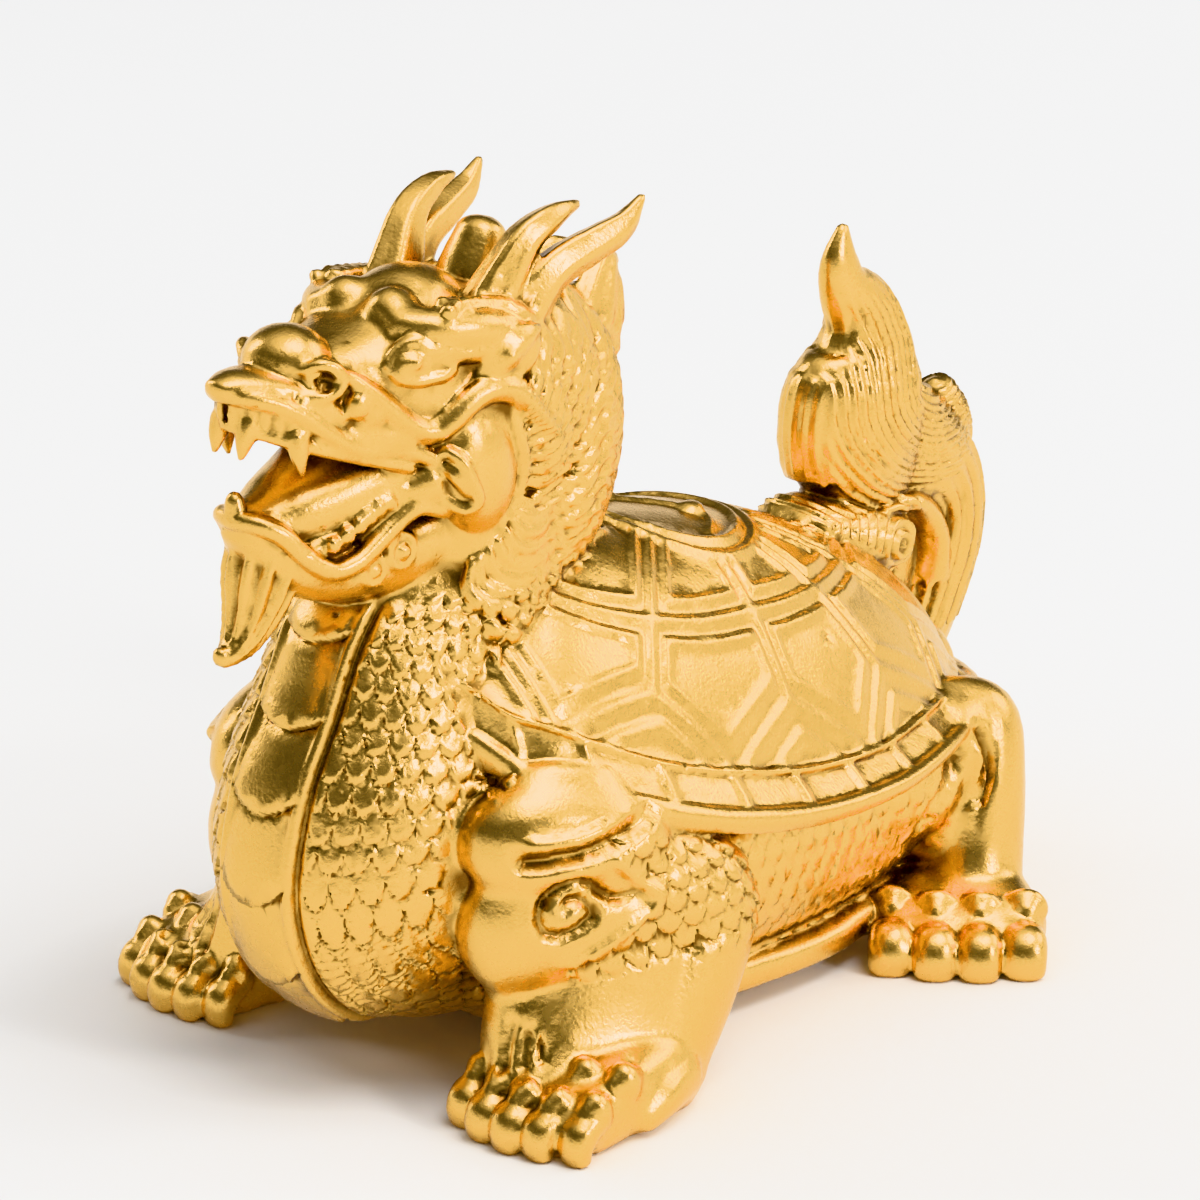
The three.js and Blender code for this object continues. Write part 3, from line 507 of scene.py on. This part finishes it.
# curl at the corner of the mouth, edge of the cheek
roll(casting, pressed([(9.2, -37, 73.8), (10.5, -36.3, 74.4), (12.1, -35.5, 73.3), (12.8, -34.8, 71.2),
                       (12.9, -34.0, 68.8), (11.9, -35.0, 67.9), (10.7, -36.1, 68.9), (9.6, -36.8, 71.2)],
                      0.3), 0.7)
roll(casting, pressed([(9.9, -36.7, 73), (11.6, -36.1, 71.9), (12.4, -35.0, 69.5)], 0.3), 0.8, 0.3)
roll(casting, pressed([(12.2, -28.2, 78), (12.3, -26.8, 74), (12, -25.8, 70), (11.4, -26.4, 66.4),
                       (11.6, -29.2, 64.8)], 0.2), 0.75)
# whisker: a thick grooved roll
form(casting, [(6.6, -47.6, 84.8, 0.7, 0.8), (7.5, -45.6, 83, 1.0, 1.0), (8.4, -42.8, 80.2, 1.15, 1.2),
               (9.1, -40, 77.7, 1.2, 1.25), (10, -37.6, 76.8, 1.25, 1.3), (10.9, -35.7, 77.9, 1.25, 1.4),
               (11.5, -33.3, 79.6, 1.25, 1.5), (12, -30.9, 80.4, 1.25, 1.5), (12.6, -28, 79.8, 1.2, 1.5),
               (12.9, -25.6, 77.6, 1.2, 1.45), (12.7, -23.1, 74.9, 1.1, 1.3),
               (12.2, -20.9, 73.4, 0.95, 1.1), (11.8, -19.4, 73.8, 0.6, 0.7),
               (11.6, -19.2, 74.8, 0.3, 0.3)], both=True, step=0.3, ribs=4, groove=0.07)
# ear and its bead
form(casting, [(11.2, -31, 81.4, 0.9, 1.5), (12.2, -29, 83.6, 1.3, 2.2), (12.7, -26.4, 85.3, 1.1, 1.7),
               (12.8, -24, 86, 0.4, 0.5)], both=True, step=0.3, ribs=4, groove=0.08)
lump(casting, (13.4, -29, 83.9), (0.7, 0.85, 0.85), both=True)
form(casting, [(12.2, -27.4, 81.6, 0.8, 1.2), (12.8, -25.6, 83.2, 0.8, 1.2), (12.6, -23.8, 84.8, 0.4, 0.5)],
     both=True, step=0.3)
# horns, two branches each, and the crest between them
form(casting, [(6.8, -27, 85.4, 3.2, 4.2), (7.8, -24.6, 90.4, 2.5, 3.0), (8.7, -21.8, 94.6, 1.9, 2.1),
               (9.3, -17.8, 96.6, 1.35, 1.4), (9.4, -14.3, 97.2, 0.55, 0.55)], both=True, step=0.3, ribs=5,
     groove=0.09)
form(casting, [(9, -23, 86, 2.4, 3.0), (10, -19, 90.6, 2.0, 2.4), (11, -14, 92.6, 1.7, 2.1),
               (11.9, -9.6, 94.2, 1.3, 1.7), (12.3, -6.8, 97.0, 0.5, 0.5)], both=True, step=0.3, ribs=5,
     groove=0.09)
form(casting, [(0, -21.8, 86, 4.8, 4.4), (0, -20.6, 90, 4.1, 3.7), (0, -19.6, 93.2, 3.0, 2.8)])
# beads and their rings under the jaw
for bead, radius in (((8.3, -41, 63.7), 0.95), ((7.5, -44.6, 62.2), 0.8)):
    lump(casting, bead, (radius, radius, radius), both=True)
    ring = [(bead[0] - 0.1, bead[1] + 1.9 * radius * math.cos(a), bead[2] + 1.9 * radius * math.sin(a),
             0.45, 0.45) for a in np.linspace(0, 2 * math.pi, 13)]
    form(casting, ring, both=True, step=0.25)
# beard
form(casting, [(0, -53.4, 66, 4, 3.4), (0, -54.6, 62, 3.9, 3.5), (0, -55.9, 58.6, 3.1, 2.7),
               (0, -57.8, 55.8, 2.2, 1.7), (0, -60, 54.6, 1.2, 1.0), (0, -60.6, 55.4, 0.8, 0.7)], step=0.3,
     ribs=10, groove=0.15)

# Mane: tiers of pointed locks swept back from the cheeks over the back of the head, and
# tall locks along the neck, with fine grooved hair. They are pressed on and cast with it.
TALL_LOCKS = (
    [(6.4, -12, 70, 1.8, 3), (6.2, -9.6, 77, 2.2, 4.4), (5, -6.2, 82.4, 2.0, 4.4), (4, -3.6, 86.4, 1.3, 2.8),
     (3.4, -1.8, 87.6, 0.7, 1.2)],
    [(4, -9, 62, 1.8, 2.6), (3.8, -6.4, 68, 2.0, 3), (3.4, -3.6, 73, 1.6, 2.4), (3, -1.9, 76, 0.8, 1.1)],
    [(5, -13, 53.6, 1.8, 2.2), (4.6, -10.4, 58, 1.9, 2.6), (4, -7.2, 62.6, 1.6, 2.2), (3.6, -5, 66, 0.8, 1.0)],
)
for lock in TALL_LOCKS:
    form(casting, lock, both=True, step=0.3, ribs=8, groove=0.08)

CHEEK_Y, CHEEK_Z = -36, 71  # the locks fan out from here
MANE_TIERS = ((10.2, 12, 15), (15.4, 12, 16), (20.4, 11, 17), (25, 8, 18))
LOCK_WIDTHS = (0.35, 0.8, 1.0, 0.95, 0.65, 0.15)
for tier, (start, length, locks) in enumerate(MANE_TIERS):
    for turn in np.linspace(-1.35, 0.66, locks) + 0.08 * (tier % 2):
        lock = []
        for f in (0, 0.2, 0.4, 0.6, 0.8, 1):
            out, bend = start + length * f, turn - 0.1 * math.sin(2 * math.pi * f) + 0.2 * f
            lock.append((12, CHEEK_Y + out * math.cos(bend), CHEEK_Z + out * math.sin(bend)))
        stations = [(*spot, w, w) for spot, w in zip(pressed(lock, 0.35), LOCK_WIDTHS)]
        form(casting, stations, both=True, step=0.3)

# Tail: a thick stem from the rump carries one tall flame of hair, with a scroll at its
# foot and a lobe behind it. Fine strands run up it. It is cast with the rump.
stem = [(0, 57.4, 22, 3.6, 5), (0, 61.6, 28.6, 3.8, 5.2), (0, 64.6, 37, 4.4, 5.6), (0, 63.4, 44.4, 4.8, 6),
        (0, 57, 50.4, 5.6, 7.4), (0, 50, 54, 5.6, 6.8)]
flame = [(0, 45.4, 45.6, 4.6, 6), (0, 46.2, 49.6, 6.3, 10.0), (0, 46.1, 54, 6.9, 11.3),
         (0, 46, 58, 6.6, 11.4), (0, 47, 62, 5.7, 10.1), (0, 47.6, 66, 4.6, 7.3), (0, 46.6, 70, 3.5, 5.2),
         (0, 43.8, 73.6, 2.6, 3.5), (0, 43, 77, 1.9, 2.7), (0, 43.6, 80.8, 0.7, 0.9)]
form(casting, stem, step=0.35)
form(casting, flame, step=0.35)
# the scroll is rolled up under the flame, and a deep hollow parts it from the stem
form(casting, [(0, 35.4, 44.4, 6, 4.3), (0, 41, 42.8, 7, 4.8), (0, 46.6, 41.4, 7.4, 4.9),
               (0, 49, 41, 7.4, 4.4)], square=2.3, step=0.35)
form(casting, [(0, 46.6, 45, 5.6, 1.6), (0, 52, 45, 5.8, 1.8), (0, 56.4, 42.6, 5.4, 2.2),
               (0, 59.6, 38, 4.8, 2.6), (0, 60, 33, 4.2, 3)], step=0.35)
form(casting, [(0, 63.8, 45, 3.2, 3.8), (0, 64.4, 51, 3.2, 3.8), (0, 62.4, 55.6, 2.6, 3)], step=0.35)
lump(casting, (0, 55, 38), (1.8, 6, 9))

# Skin of the casting: all the forms run together, and then carved with scales, the belly
# band's plates, the folds of the limbs, and the fine strands of mane and tail.
skin = fuse("dragon_turtle", casting, GRAIN, 2)
count = len(skin.vertices)
points = np.empty(3 * count, np.float32)
skin.vertices.foreach_get("co", points)
points = points.reshape(-1, 3).astype(float) / MM + [0, SET_BACK, 0]
px, py, pz = points.T
normals = np.empty(3 * count, np.float32)
skin.vertex_normals.foreach_get("vector", normals)
normals = normals.reshape(-1, 3).astype(float)


def lie_on(stations, chosen, side=(1, 0, 0)):
    """Where chosen points lie on a form: place along it, angle round it and how far out,
    where 1 is its skin."""
    places = np.linspace(0, 1, 161)
    centre, width, tangent, across, over = spine(np.array(stations, float), places, side)
    speed = np.linalg.norm(np.gradient(centre, places, axis=0), axis=1)
    place, angle, reach = (np.empty(len(chosen)) for _ in range(3))
    for start in range(0, len(chosen), 20000):
        part = chosen[start:start + 20000]
        near = (((part[:, None] - centre[None]) ** 2).sum(axis=2)).argmin(axis=1)
        offset = part - centre[near]
        place[start:start + 20000] = places[near] + (offset * tangent[near]).sum(axis=1) / speed[near]
        a = (offset * across[near]).sum(axis=1) / width[near, 0]
        o = (offset * over[near]).sum(axis=1) / width[near, 1]
        angle[start:start + 20000] = np.arctan2(o, a)
        reach[start:start + 20000] = np.hypot(a, o)
    return place, angle, reach


def between(value, low, high):
    """0 below `low`, 1 above `high`, and smooth between them."""
    f = np.clip((value - low) / (high - low), 0, 1)
    return f * f * (3 - 2 * f)


def scale_height(across, along):
    """Overlapping scales, their free ends towards larger `along`: 0 to 1."""
    row = np.floor(along)
    arcs = []
    for back in (0, 1):
        off = across + 0.5 * np.mod(row - back, 2)
        arcs.append(0.9 * np.sqrt(np.maximum(0, 1 - (2 * (off - np.round(off))) ** 2)))
    own, before = arcs
    shown = along - row
    bared = np.where(shown < before, (shown + 1 - own) / (1 + before - own),
                     (shown - before) / (1 + own - before))
    return 0.3 + 0.7 * np.clip(bared, 0, 1) ** 0.6


lift = np.zeros(count)


def carve(line, height, width, ends=6.0):
    """Raises (or sinks) a rounded line on both sides of the figure."""
    drawn = smooth_path(line, np.linspace(0, 1, 160))
    for hand in (1, -1):
        spot = points * [hand, 1, 1]
        near = np.flatnonzero(((spot > drawn.min(axis=0) - 3) & (spot < drawn.max(axis=0) + 3)).all(axis=1))
        skin_tree = KDTree(len(near))
        for i, p in enumerate(spot[near]):
            skin_tree.insert(p, i)
        skin_tree.balance()
        run = np.array([skin_tree.find(p)[0] for p in drawn])
        away = np.empty(len(near))
        place = np.empty(len(near))
        for start in range(0, len(near), 20000):
            gap = np.linalg.norm(spot[near[start:start + 20000]][:, None] - run[None], axis=2)
            nearest = gap.argmin(axis=1)
            away[start:start + 20000] = gap[np.arange(len(nearest)), nearest]
            place[start:start + 20000] = nearest / 159
        taper = np.minimum(1, ends * np.minimum(place, 1 - place) + 0.25)
        lift[near] += height * taper * ridge(away, width) ** 1.5


# neck and chest: overlapping scales, and the smooth plates of the belly band
BAND_HALF, PLATE_LENGTH, CHEST_RADIUS = 4.8, 8.5, 24
NECK_SCALES_ROUND, NECK_SCALE_ROWS = 42, 29
chosen = np.flatnonzero((py < -8) & (pz < 70) & (np.abs(px) < 20))
spot = points[chosen]
x, y, z = np.abs(spot[:, 0]), spot[:, 1], spot[:, 2]
place, angle, reach = lie_on(neck, spot)
near_rim = (x / SHELL_HALF) ** 3 + (np.abs(y - SHELL_MIDDLE) / SHELL_FRONT) ** 3 < 1.04
on_shell = near_rim & (z > eased(EDGE_HEIGHT, y) - 1.2) & (z < dome_height(x, y) + 0.9)
on_neck = (1 - between(np.abs(reach - 1), 0.25, 0.4)) * ~on_shell
on_neck = on_neck * (1 - between(z, 56, 58.5)) * (1 - between(x, 15.4, 16.2) * (z < 37))
scaled = np.clip(between(x, BAND_HALF + 1.4, BAND_HALF + 2.0) + (y > -30), 0, 1) * between(z, 6, 10)
scales = scale_height(angle * NECK_SCALES_ROUND / (2 * math.pi), place * NECK_SCALE_ROWS)
edge_line = 0.55 * ridge(x - BAND_HALF, 0.7) - 0.6 * ridge(x - BAND_HALF - 1.0, 0.5)
round_chest = np.arctan2(z - 32, -28 - y)
plates = np.mod(0.35 - round_chest * CHEST_RADIUS / PLATE_LENGTH + 0.011 * x**2, 1)
on_band = 1 - between(x, BAND_HALF - 0.9, BAND_HALF - 0.4)
belly = 0.8 * plates**2 * on_band - 0.35 * ridge(plates, 0.05) * (x < BAND_HALF)
front = (y < -34) * between(z, 6, 10)
lift[chosen] += on_neck * (1.05 * (scales - 0.6) * scaled + front * (edge_line + belly))

# arms: scales behind the leaf-shaped muscle of the shoulder
LEAF_EDGE = [(16, -36), (18.6, -36.4), (20.1, -32.3), (22.6, -27.6), (24.6, -25.1), (28.8, -29.1),
             (32.1, -30.9), (37, -30)]
for hand in (1, -1):
    chosen = np.flatnonzero((px * hand > 17) & (py < -5) & (pz < 35) & (pz > 12))
    spot = points[chosen] * [hand, 1, 1]
    y, z = spot[:, 1], spot[:, 2]
    reach = lie_on(upper_arm, spot)[2]
    behind = y - np.interp(z, *zip(*LEAF_EDGE))
    on_arm = (1 - between(np.abs(reach - 1), 0.6, 0.9)) * between(behind, 0.2, 1.2) * between(z, 15, 18)
    on_arm = on_arm * (1 - between(z - np.interp(y, [-30, -8], [33, 26.4]), -0.6, 0.2))
    scales = scale_height(y / 3.1 + 0.1 * z, (35 - z) / 2.5 + 0.05 * y)
    lift[chosen] += on_arm * (1.2 * (scales - 0.5) - 0.25)

# flanks: a shallow net of scales
FLANK_SCALE = 2.7
chosen = np.flatnonzero((np.abs(px) > 15) & (np.abs(py - 8) < 32) & (pz < 26) & (pz > 7))
spot = points[chosen]
y, z = spot[:, 1], spot[:, 2]
reach = lie_on(trunk, spot)[2]
on_flank = (1 - between(np.abs(reach - 1), 0.1, 0.16)) * between(y, -12, -9)
lift[chosen] += on_flank * 0.5 * (scale_height(y / FLANK_SCALE, (30 - z) / FLANK_SCALE) - 0.5)

# shoulders: the hooked fold, the volute and the leaf's edge
carve([(23.9, -40.2, 32.0), (25.0, -39.1, 31.0), (26.6, -36.8, 31.2), (28.2, -33.7, 31.5),
       (29.3, -30.9, 32.1), (29.9, -27.5, 33.2), (29.1, -24.1, 33.9)], -1.5, 1.6)
carve([(24.6, -40, 33.4), (26.4, -37.2, 33.2), (28, -33.9, 33.4), (28.8, -30.2, 34.2)], 0.8, 1.2)
carve([(30.7, -26.7, 25.6), (29.4, -30.2, 25.7), (28.7, -31.9, 26.8), (28.0, -33.5, 27.9),
       (26.6, -36.1, 27.7), (25.6, -37.8, 26.2), (25.8, -38.4, 24.1), (26.6, -37.4, 22.6),
       (27.9, -35.1, 22.8), (28.7, -32.9, 24.4), (28.4, -33.8, 26), (27.6, -35.4, 26.3), (27.2, -36, 25.2)],
      -1.0, 0.95, 9)
carve([(29.3, -30.9, 32.1), (29.9, -29.1, 28.8), (31.1, -25.5, 25.4), (31.4, -25.0, 24.3),
       (30.8, -27.6, 22.6), (29.1, -32.3, 20.1), (26.9, -36.4, 18.6)], 0.6, 0.9)
# haunches: two scooped folds and the raised line between them
carve([(27.2, 27.5, 14.9), (28.4, 26.9, 17.5), (28.7, 29.3, 19.4), (28.2, 31.2, 21.9), (27.6, 32.4, 24.6)],
      -1.1, 1.9)
carve([(29.2, 34.0, 16.0), (29.6, 35.3, 18.5), (29.5, 36.5, 21.3), (28.8, 36.6, 24.3), (28.0, 36.2, 26.2)],
      -1.1, 1.2)
carve([(28.4, 34.6, 14.8), (29.2, 35.0, 17.9), (29.4, 35.4, 21.1), (29, 35.2, 24.3)], 0.5, 0.9)
# wrists: furrows between the tendons; nostrils: their holes
for tendon in (24.2, 27, 29.8):
    carve([(tendon, -42, 14), (tendon - 0.4, -42.5, 10), (tendon, -43, 7.4)], -0.7, 1.1)
carve([(6.2, -50.9, 84.9), (6.4, -50.2, 84.3)], -1.3, 1.1, 40)

# mane: fine hair along the locks
HAIRS = 100  # to a full turn
chosen = np.flatnonzero((py > -27) & (py < 0) & (pz > 56) & (pz < 84) & (np.abs(px) > 3))
spot = points[chosen]
reach = np.minimum(lie_on(mane, spot)[2], lie_on(skull, spot)[2])
y, z = spot[:, 1] - CHEEK_Y, spot[:, 2] - CHEEK_Z
from_cheek = np.hypot(y, z)
fan = np.arctan2(z, y) - 0.2 * (from_cheek - 10) / 12 + 0.03 * np.sin(from_cheek)
hair = 0.13 * np.cos(HAIRS * fan) * between(from_cheek, 9.6, 10.6) * (1 - between(spot[:, 2], 80, 83.5))
lift[chosen] += hair * (1 - between(reach, 1.2, 1.3))

# tail: strands that run down the flame and bend back into the stem, and rings of the scroll
STRAND, FINE_STRAND, SCROLL_RING = 1.35, 0.6, 1.5
chosen = np.flatnonzero((py > 30) & (pz > 26))
spot = points[chosen]
x, y, z = spot.T
place, angle, reach = lie_on(stem, spot)
on_stem = (1 - between(np.abs(reach - 1), 0.12, 0.25)) * (1 - between(place, 0.62, 0.74))
stem_strands = 0.24 * np.cos(15 * angle) + 0.1 * np.cos(37 * angle + 1)
lean = np.interp(z, [58, 66, 70, 74, 77, 81], [0, 1, 0, -2.4, -3.2, -2.6])
sweep = 2 * math.pi * np.hypot(y - 60 - lean, 1.5 * np.maximum(0, 60 - z))
side_strands = 0.19 * np.cos(sweep / STRAND) + 0.09 * np.cos(sweep / FINE_STRAND + 1)
face_strands = 0.12 * np.cos(2 * math.pi * x / 1.4) * between(z, 49, 54)
on_face = between(-normals[chosen, 1], 0.45, 0.75)
flame_strands = side_strands * (1 - on_face) + face_strands * on_face
on_flame = (z > 46) * (1 - on_stem) * (1 - between(z, 70, 75))
on_flame = on_flame * (1 - between(z, 62, 66) * (1 - between(y, 40, 43)))
swirl = 2 * math.pi * np.hypot(y - 47.6, z - 41)
on_side = between(np.abs(normals[chosen, 0]), 0.5, 0.75)
scroll_rings = 0.3 * np.cos(swirl / SCROLL_RING) * on_side
scroll_rings += 0.13 * np.cos(2 * math.pi * x / 1.7) * (1 - on_side)
on_scroll = (z <= 46) * (1 - on_stem) * (y < 53) * (np.abs(x) < 8.2) * (z > eased(CREST_HEIGHT, y) + 0.5)
lift[chosen] += on_stem * stem_strands + on_flame * flame_strands + on_scroll * scroll_rings

# the wax's slight waviness, and small pits left by the casting
WAVES, WAVE_HEIGHT, PITS, PIT_DEPTH = 14, 0.0045, 90, 0.3
rng = np.random.default_rng(7)
for wave in rng.normal(size=(WAVES, 3)):
    wave *= rng.uniform(1.2, 4.4) / np.linalg.norm(wave)
    lift += WAVE_HEIGHT * np.sin(points @ wave + rng.uniform(0, 6.28))
for pit in points[rng.integers(0, count, PITS)]:
    near = np.flatnonzero((np.abs(points - pit) < 0.6).all(axis=1))
    lift[near] -= PIT_DEPTH * ridge(np.linalg.norm(points[near] - pit, axis=1), rng.uniform(0.3, 0.55))

points += normals * lift[:, None]
points[:, 2] = np.maximum(points[:, 2], 0)
skin.vertices.foreach_set("co", ((points - [0, SET_BACK, 0]) * MM).astype(np.float32).ravel())
skin.update()

# the finished skin keeps small faces only where it is finely carved
figure = bpy.data.objects.new("gilt_casting", skin)
bpy.context.scene.collection.objects.link(figure)
TRIANGLES = 196000
thinned = figure.modifiers.new("thinned", "DECIMATE")
thinned.ratio = min(1, TRIANGLES / sum(len(p.vertices) - 2 for p in skin.polygons))
final = bpy.data.meshes.new_from_object(figure.evaluated_get(bpy.context.evaluated_depsgraph_get()))
figure.modifiers.clear()
figure.data = final
bpy.data.meshes.remove(skin)
skin = final
skin.polygons.foreach_set("use_smooth", np.ones(len(skin.polygons), bool))

# Depth of the folds, for the painted shade that darkens them, partly a brown wash: how much of the open air
# each point of the skin is shut off from, and how hollow the skin is there.
count = len(skin.vertices)
points = np.empty(3 * count, np.float32)
skin.vertices.foreach_get("co", points)
normals = np.empty(3 * count, np.float32)
skin.vertex_normals.foreach_get("vector", normals)
tree = BVHTree.FromPolygons([Vector(p) for p in points.reshape(-1, 3)],
                            [tuple(p.vertices) for p in skin.polygons])
RAYS = 9
CREASE_SHADE_AND_WASH = 5
FAR, SPREAD = 0.012, 0.55
shut = np.zeros(count)
points, normals = points.reshape(-1, 3), normals.reshape(-1, 3)
golden = math.pi * (3 - math.sqrt(5))
tilts = []
for k in range(RAYS):
    apart = SPREAD * math.sqrt(k)
    tilts.append(Vector((apart * math.cos(golden * k), apart * math.sin(golden * k), 1)).normalized())
for i in range(count):
    normal = Vector(normals[i])
    start = Vector(points[i]) + normal * 0.0001
    turn = normal.to_track_quat("Z", "Y")
    hits = 0.0
    for tilt in tilts:
        found = tree.ray_cast(start, turn @ tilt, FAR)
        if found[0] is not None:
            hits += 1 - found[3] / FAR
    shut[i] = hits / RAYS
edges = np.empty(2 * len(skin.edges), np.int32)
skin.edges.foreach_get("vertices", edges)
first, second = edges[::2], edges[1::2]
around = np.zeros((count, 3))
joined = np.bincount(edges, minlength=count).astype(float)
for axis in range(3):
    around[:, axis] = np.bincount(first, points[second, axis], count) + np.bincount(second, points[first,
                                                                                                   axis],
                                                                                    count)
hollow = ((around / joined[:, None] - points) * normals).sum(axis=1) / MM
for _ in range(2):
    spread = np.bincount(first, hollow[second], count) + np.bincount(second, hollow[first], count)
    hollow = 0.5 * hollow + 0.5 * spread / joined
shut = np.clip(shut + CREASE_SHADE_AND_WASH * hollow, 0, 1)
# painted shade in the folds, partly a brown wash: occlusion and hollowness kept on the skin for the material
shade_and_wash = skin.attributes.new("shade_and_wash", "FLOAT", "POINT")
shade_and_wash.data.foreach_set("value", shut.astype(np.float32))

# Finish: polished gilt brass, with painted shade turning it brown in its folds, partly a brown wash. The
# buffing left the gloss a little uneven, and the cast skin has a fine grain.
GOLD, SHADE_AND_WASH_BROWN = (0.87, 0.54, 0.155, 1), (0.2, 0.095, 0.022, 1)
SHADE_AND_WASH_FROM, SHADE_AND_WASH_FULL = 0.14, 0.6
gilt = bpy.data.materials.new("gilt_brass")
gilt.use_nodes = True
nodes, links = gilt.node_tree.nodes, gilt.node_tree.links
shader = nodes["Principled BSDF"]
shader.inputs["Metallic"].default_value = 1.0
place_node = nodes.new("ShaderNodeTexCoord")
shade_and_wash_node = nodes.new("ShaderNodeAttribute")
shade_and_wash_node.attribute_name = "shade_and_wash"
mottle = nodes.new("ShaderNodeTexNoise")
mottle.inputs["Scale"].default_value = 900
mottle.inputs["Detail"].default_value = 4
links.new(place_node.outputs["Object"], mottle.inputs["Vector"])
shade_and_wash_amount = nodes.new("ShaderNodeMapRange")
shade_and_wash_amount.inputs["From Min"].default_value = SHADE_AND_WASH_FROM
shade_and_wash_amount.inputs["From Max"].default_value = SHADE_AND_WASH_FULL
links.new(shade_and_wash_node.outputs["Fac"], shade_and_wash_amount.inputs["Value"])
# painted shade: the base colour goes brown where the skin is shut off from the air or hollow, partly a brown
# wash
colour = nodes.new("ShaderNodeMix")
colour.data_type = "RGBA"
colour.inputs[6].default_value = GOLD
colour.inputs[7].default_value = SHADE_AND_WASH_BROWN
links.new(shade_and_wash_amount.outputs["Result"], colour.inputs[0])
links.new(colour.outputs[2], shader.inputs["Base Color"])
rough = nodes.new("ShaderNodeMapRange")
rough.inputs["To Min"].default_value = 0.22
rough.inputs["To Max"].default_value = 0.32
links.new(mottle.outputs["Fac"], rough.inputs["Value"])
links.new(rough.outputs["Result"], shader.inputs["Roughness"])
grain = nodes.new("ShaderNodeTexNoise")
grain.inputs["Scale"].default_value = 2200
grain.inputs["Detail"].default_value = 3
links.new(place_node.outputs["Object"], grain.inputs["Vector"])
bump = nodes.new("ShaderNodeBump")
bump.inputs["Strength"].default_value = 0.4
bump.inputs["Distance"].default_value = 0.0001
links.new(grain.outputs["Fac"], bump.inputs["Height"])
links.new(bump.outputs["Normal"], shader.inputs["Normal"])
skin.materials.clear()
skin.materials.append(gilt)
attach(figure, "root")
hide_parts("dragon_turtle")

# Floor and studio light: a plain pale floor under large soft lamps, in a pale room. The
# room has a dark band partway up, which gives the metal its darker tones.
ground = bmesh.new()
bmesh.ops.create_grid(ground, x_segments=1, y_segments=1, size=4)
ground_mesh = bpy.data.meshes.new("floor")
ground.to_mesh(ground_mesh)
ground.free()
floor = bpy.data.objects.new("floor", ground_mesh)
bpy.context.scene.collection.objects.link(floor)
pale = bpy.data.materials.new("pale_floor")
pale.use_nodes = True
pale.node_tree.nodes["Principled BSDF"].inputs["Base Color"].default_value = (0.87, 0.87, 0.87, 1)
pale.node_tree.nodes["Principled BSDF"].inputs["Roughness"].default_value = 0.9
ground_mesh.materials.append(pale)


def softbox(name, turn, rise, reach, width, height, watts):
    """A soft lamp that faces the figure from a turn (0 is ahead) and a rise in degrees."""
    a, e = math.radians(turn), math.radians(rise)
    away = Vector((math.sin(a) * math.cos(e), -math.cos(a) * math.cos(e), math.sin(e)))
    data = bpy.data.lights.new(name, "AREA")
    data.shape = "RECTANGLE"
    data.size, data.size_y = width, height
    data.energy = watts
    lamp = bpy.data.objects.new(name, data)
    bpy.context.scene.collection.objects.link(lamp)
    lamp.location = Vector((0, 0, 0.05)) + away * reach
    lamp.rotation_euler = away.to_track_quat("Z", "Y").to_euler()


softbox("top", 95, 70, 2.0, 1.3, 1.1, 26)
softbox("back", 148, 33, 2.0, 1.2, 0.9, 14)
softbox("left", -75, 28, 2.0, 0.3, 0.9, 9)
softbox("right", 98, 26, 2.0, 0.45, 0.45, 17)

world = bpy.data.worlds.new("studio")
bpy.context.scene.world = world
world.use_nodes = True
sky = world.node_tree.nodes["Background"]
w_nodes, w_links = world.node_tree.nodes, world.node_tree.links
w_place = w_nodes.new("ShaderNodeTexCoord")
w_split = w_nodes.new("ShaderNodeSeparateXYZ")
w_ramp = w_nodes.new("ShaderNodeValToRGB")
w_links.new(w_place.outputs["Generated"], w_split.inputs["Vector"])
w_height = w_nodes.new("ShaderNodeMapRange")
w_height.inputs["From Min"].default_value = -1
w_links.new(w_split.outputs["Z"], w_height.inputs["Value"])
w_links.new(w_height.outputs["Result"], w_ramp.inputs["Fac"])
w_stops = w_ramp.color_ramp.elements
w_stops[0].position = 0.58
w_stops.new(0.66)
w_stops.new(0.85)
for stop, grey in zip(w_stops, (1.15, 0.05, 0.09, 1.15)):
    stop.color = (grey, grey, grey, 1)
w_links.new(w_ramp.outputs["Color"], sky.inputs["Color"])
bpy.context.scene.view_settings.view_transform = "Khronos PBR Neutral"
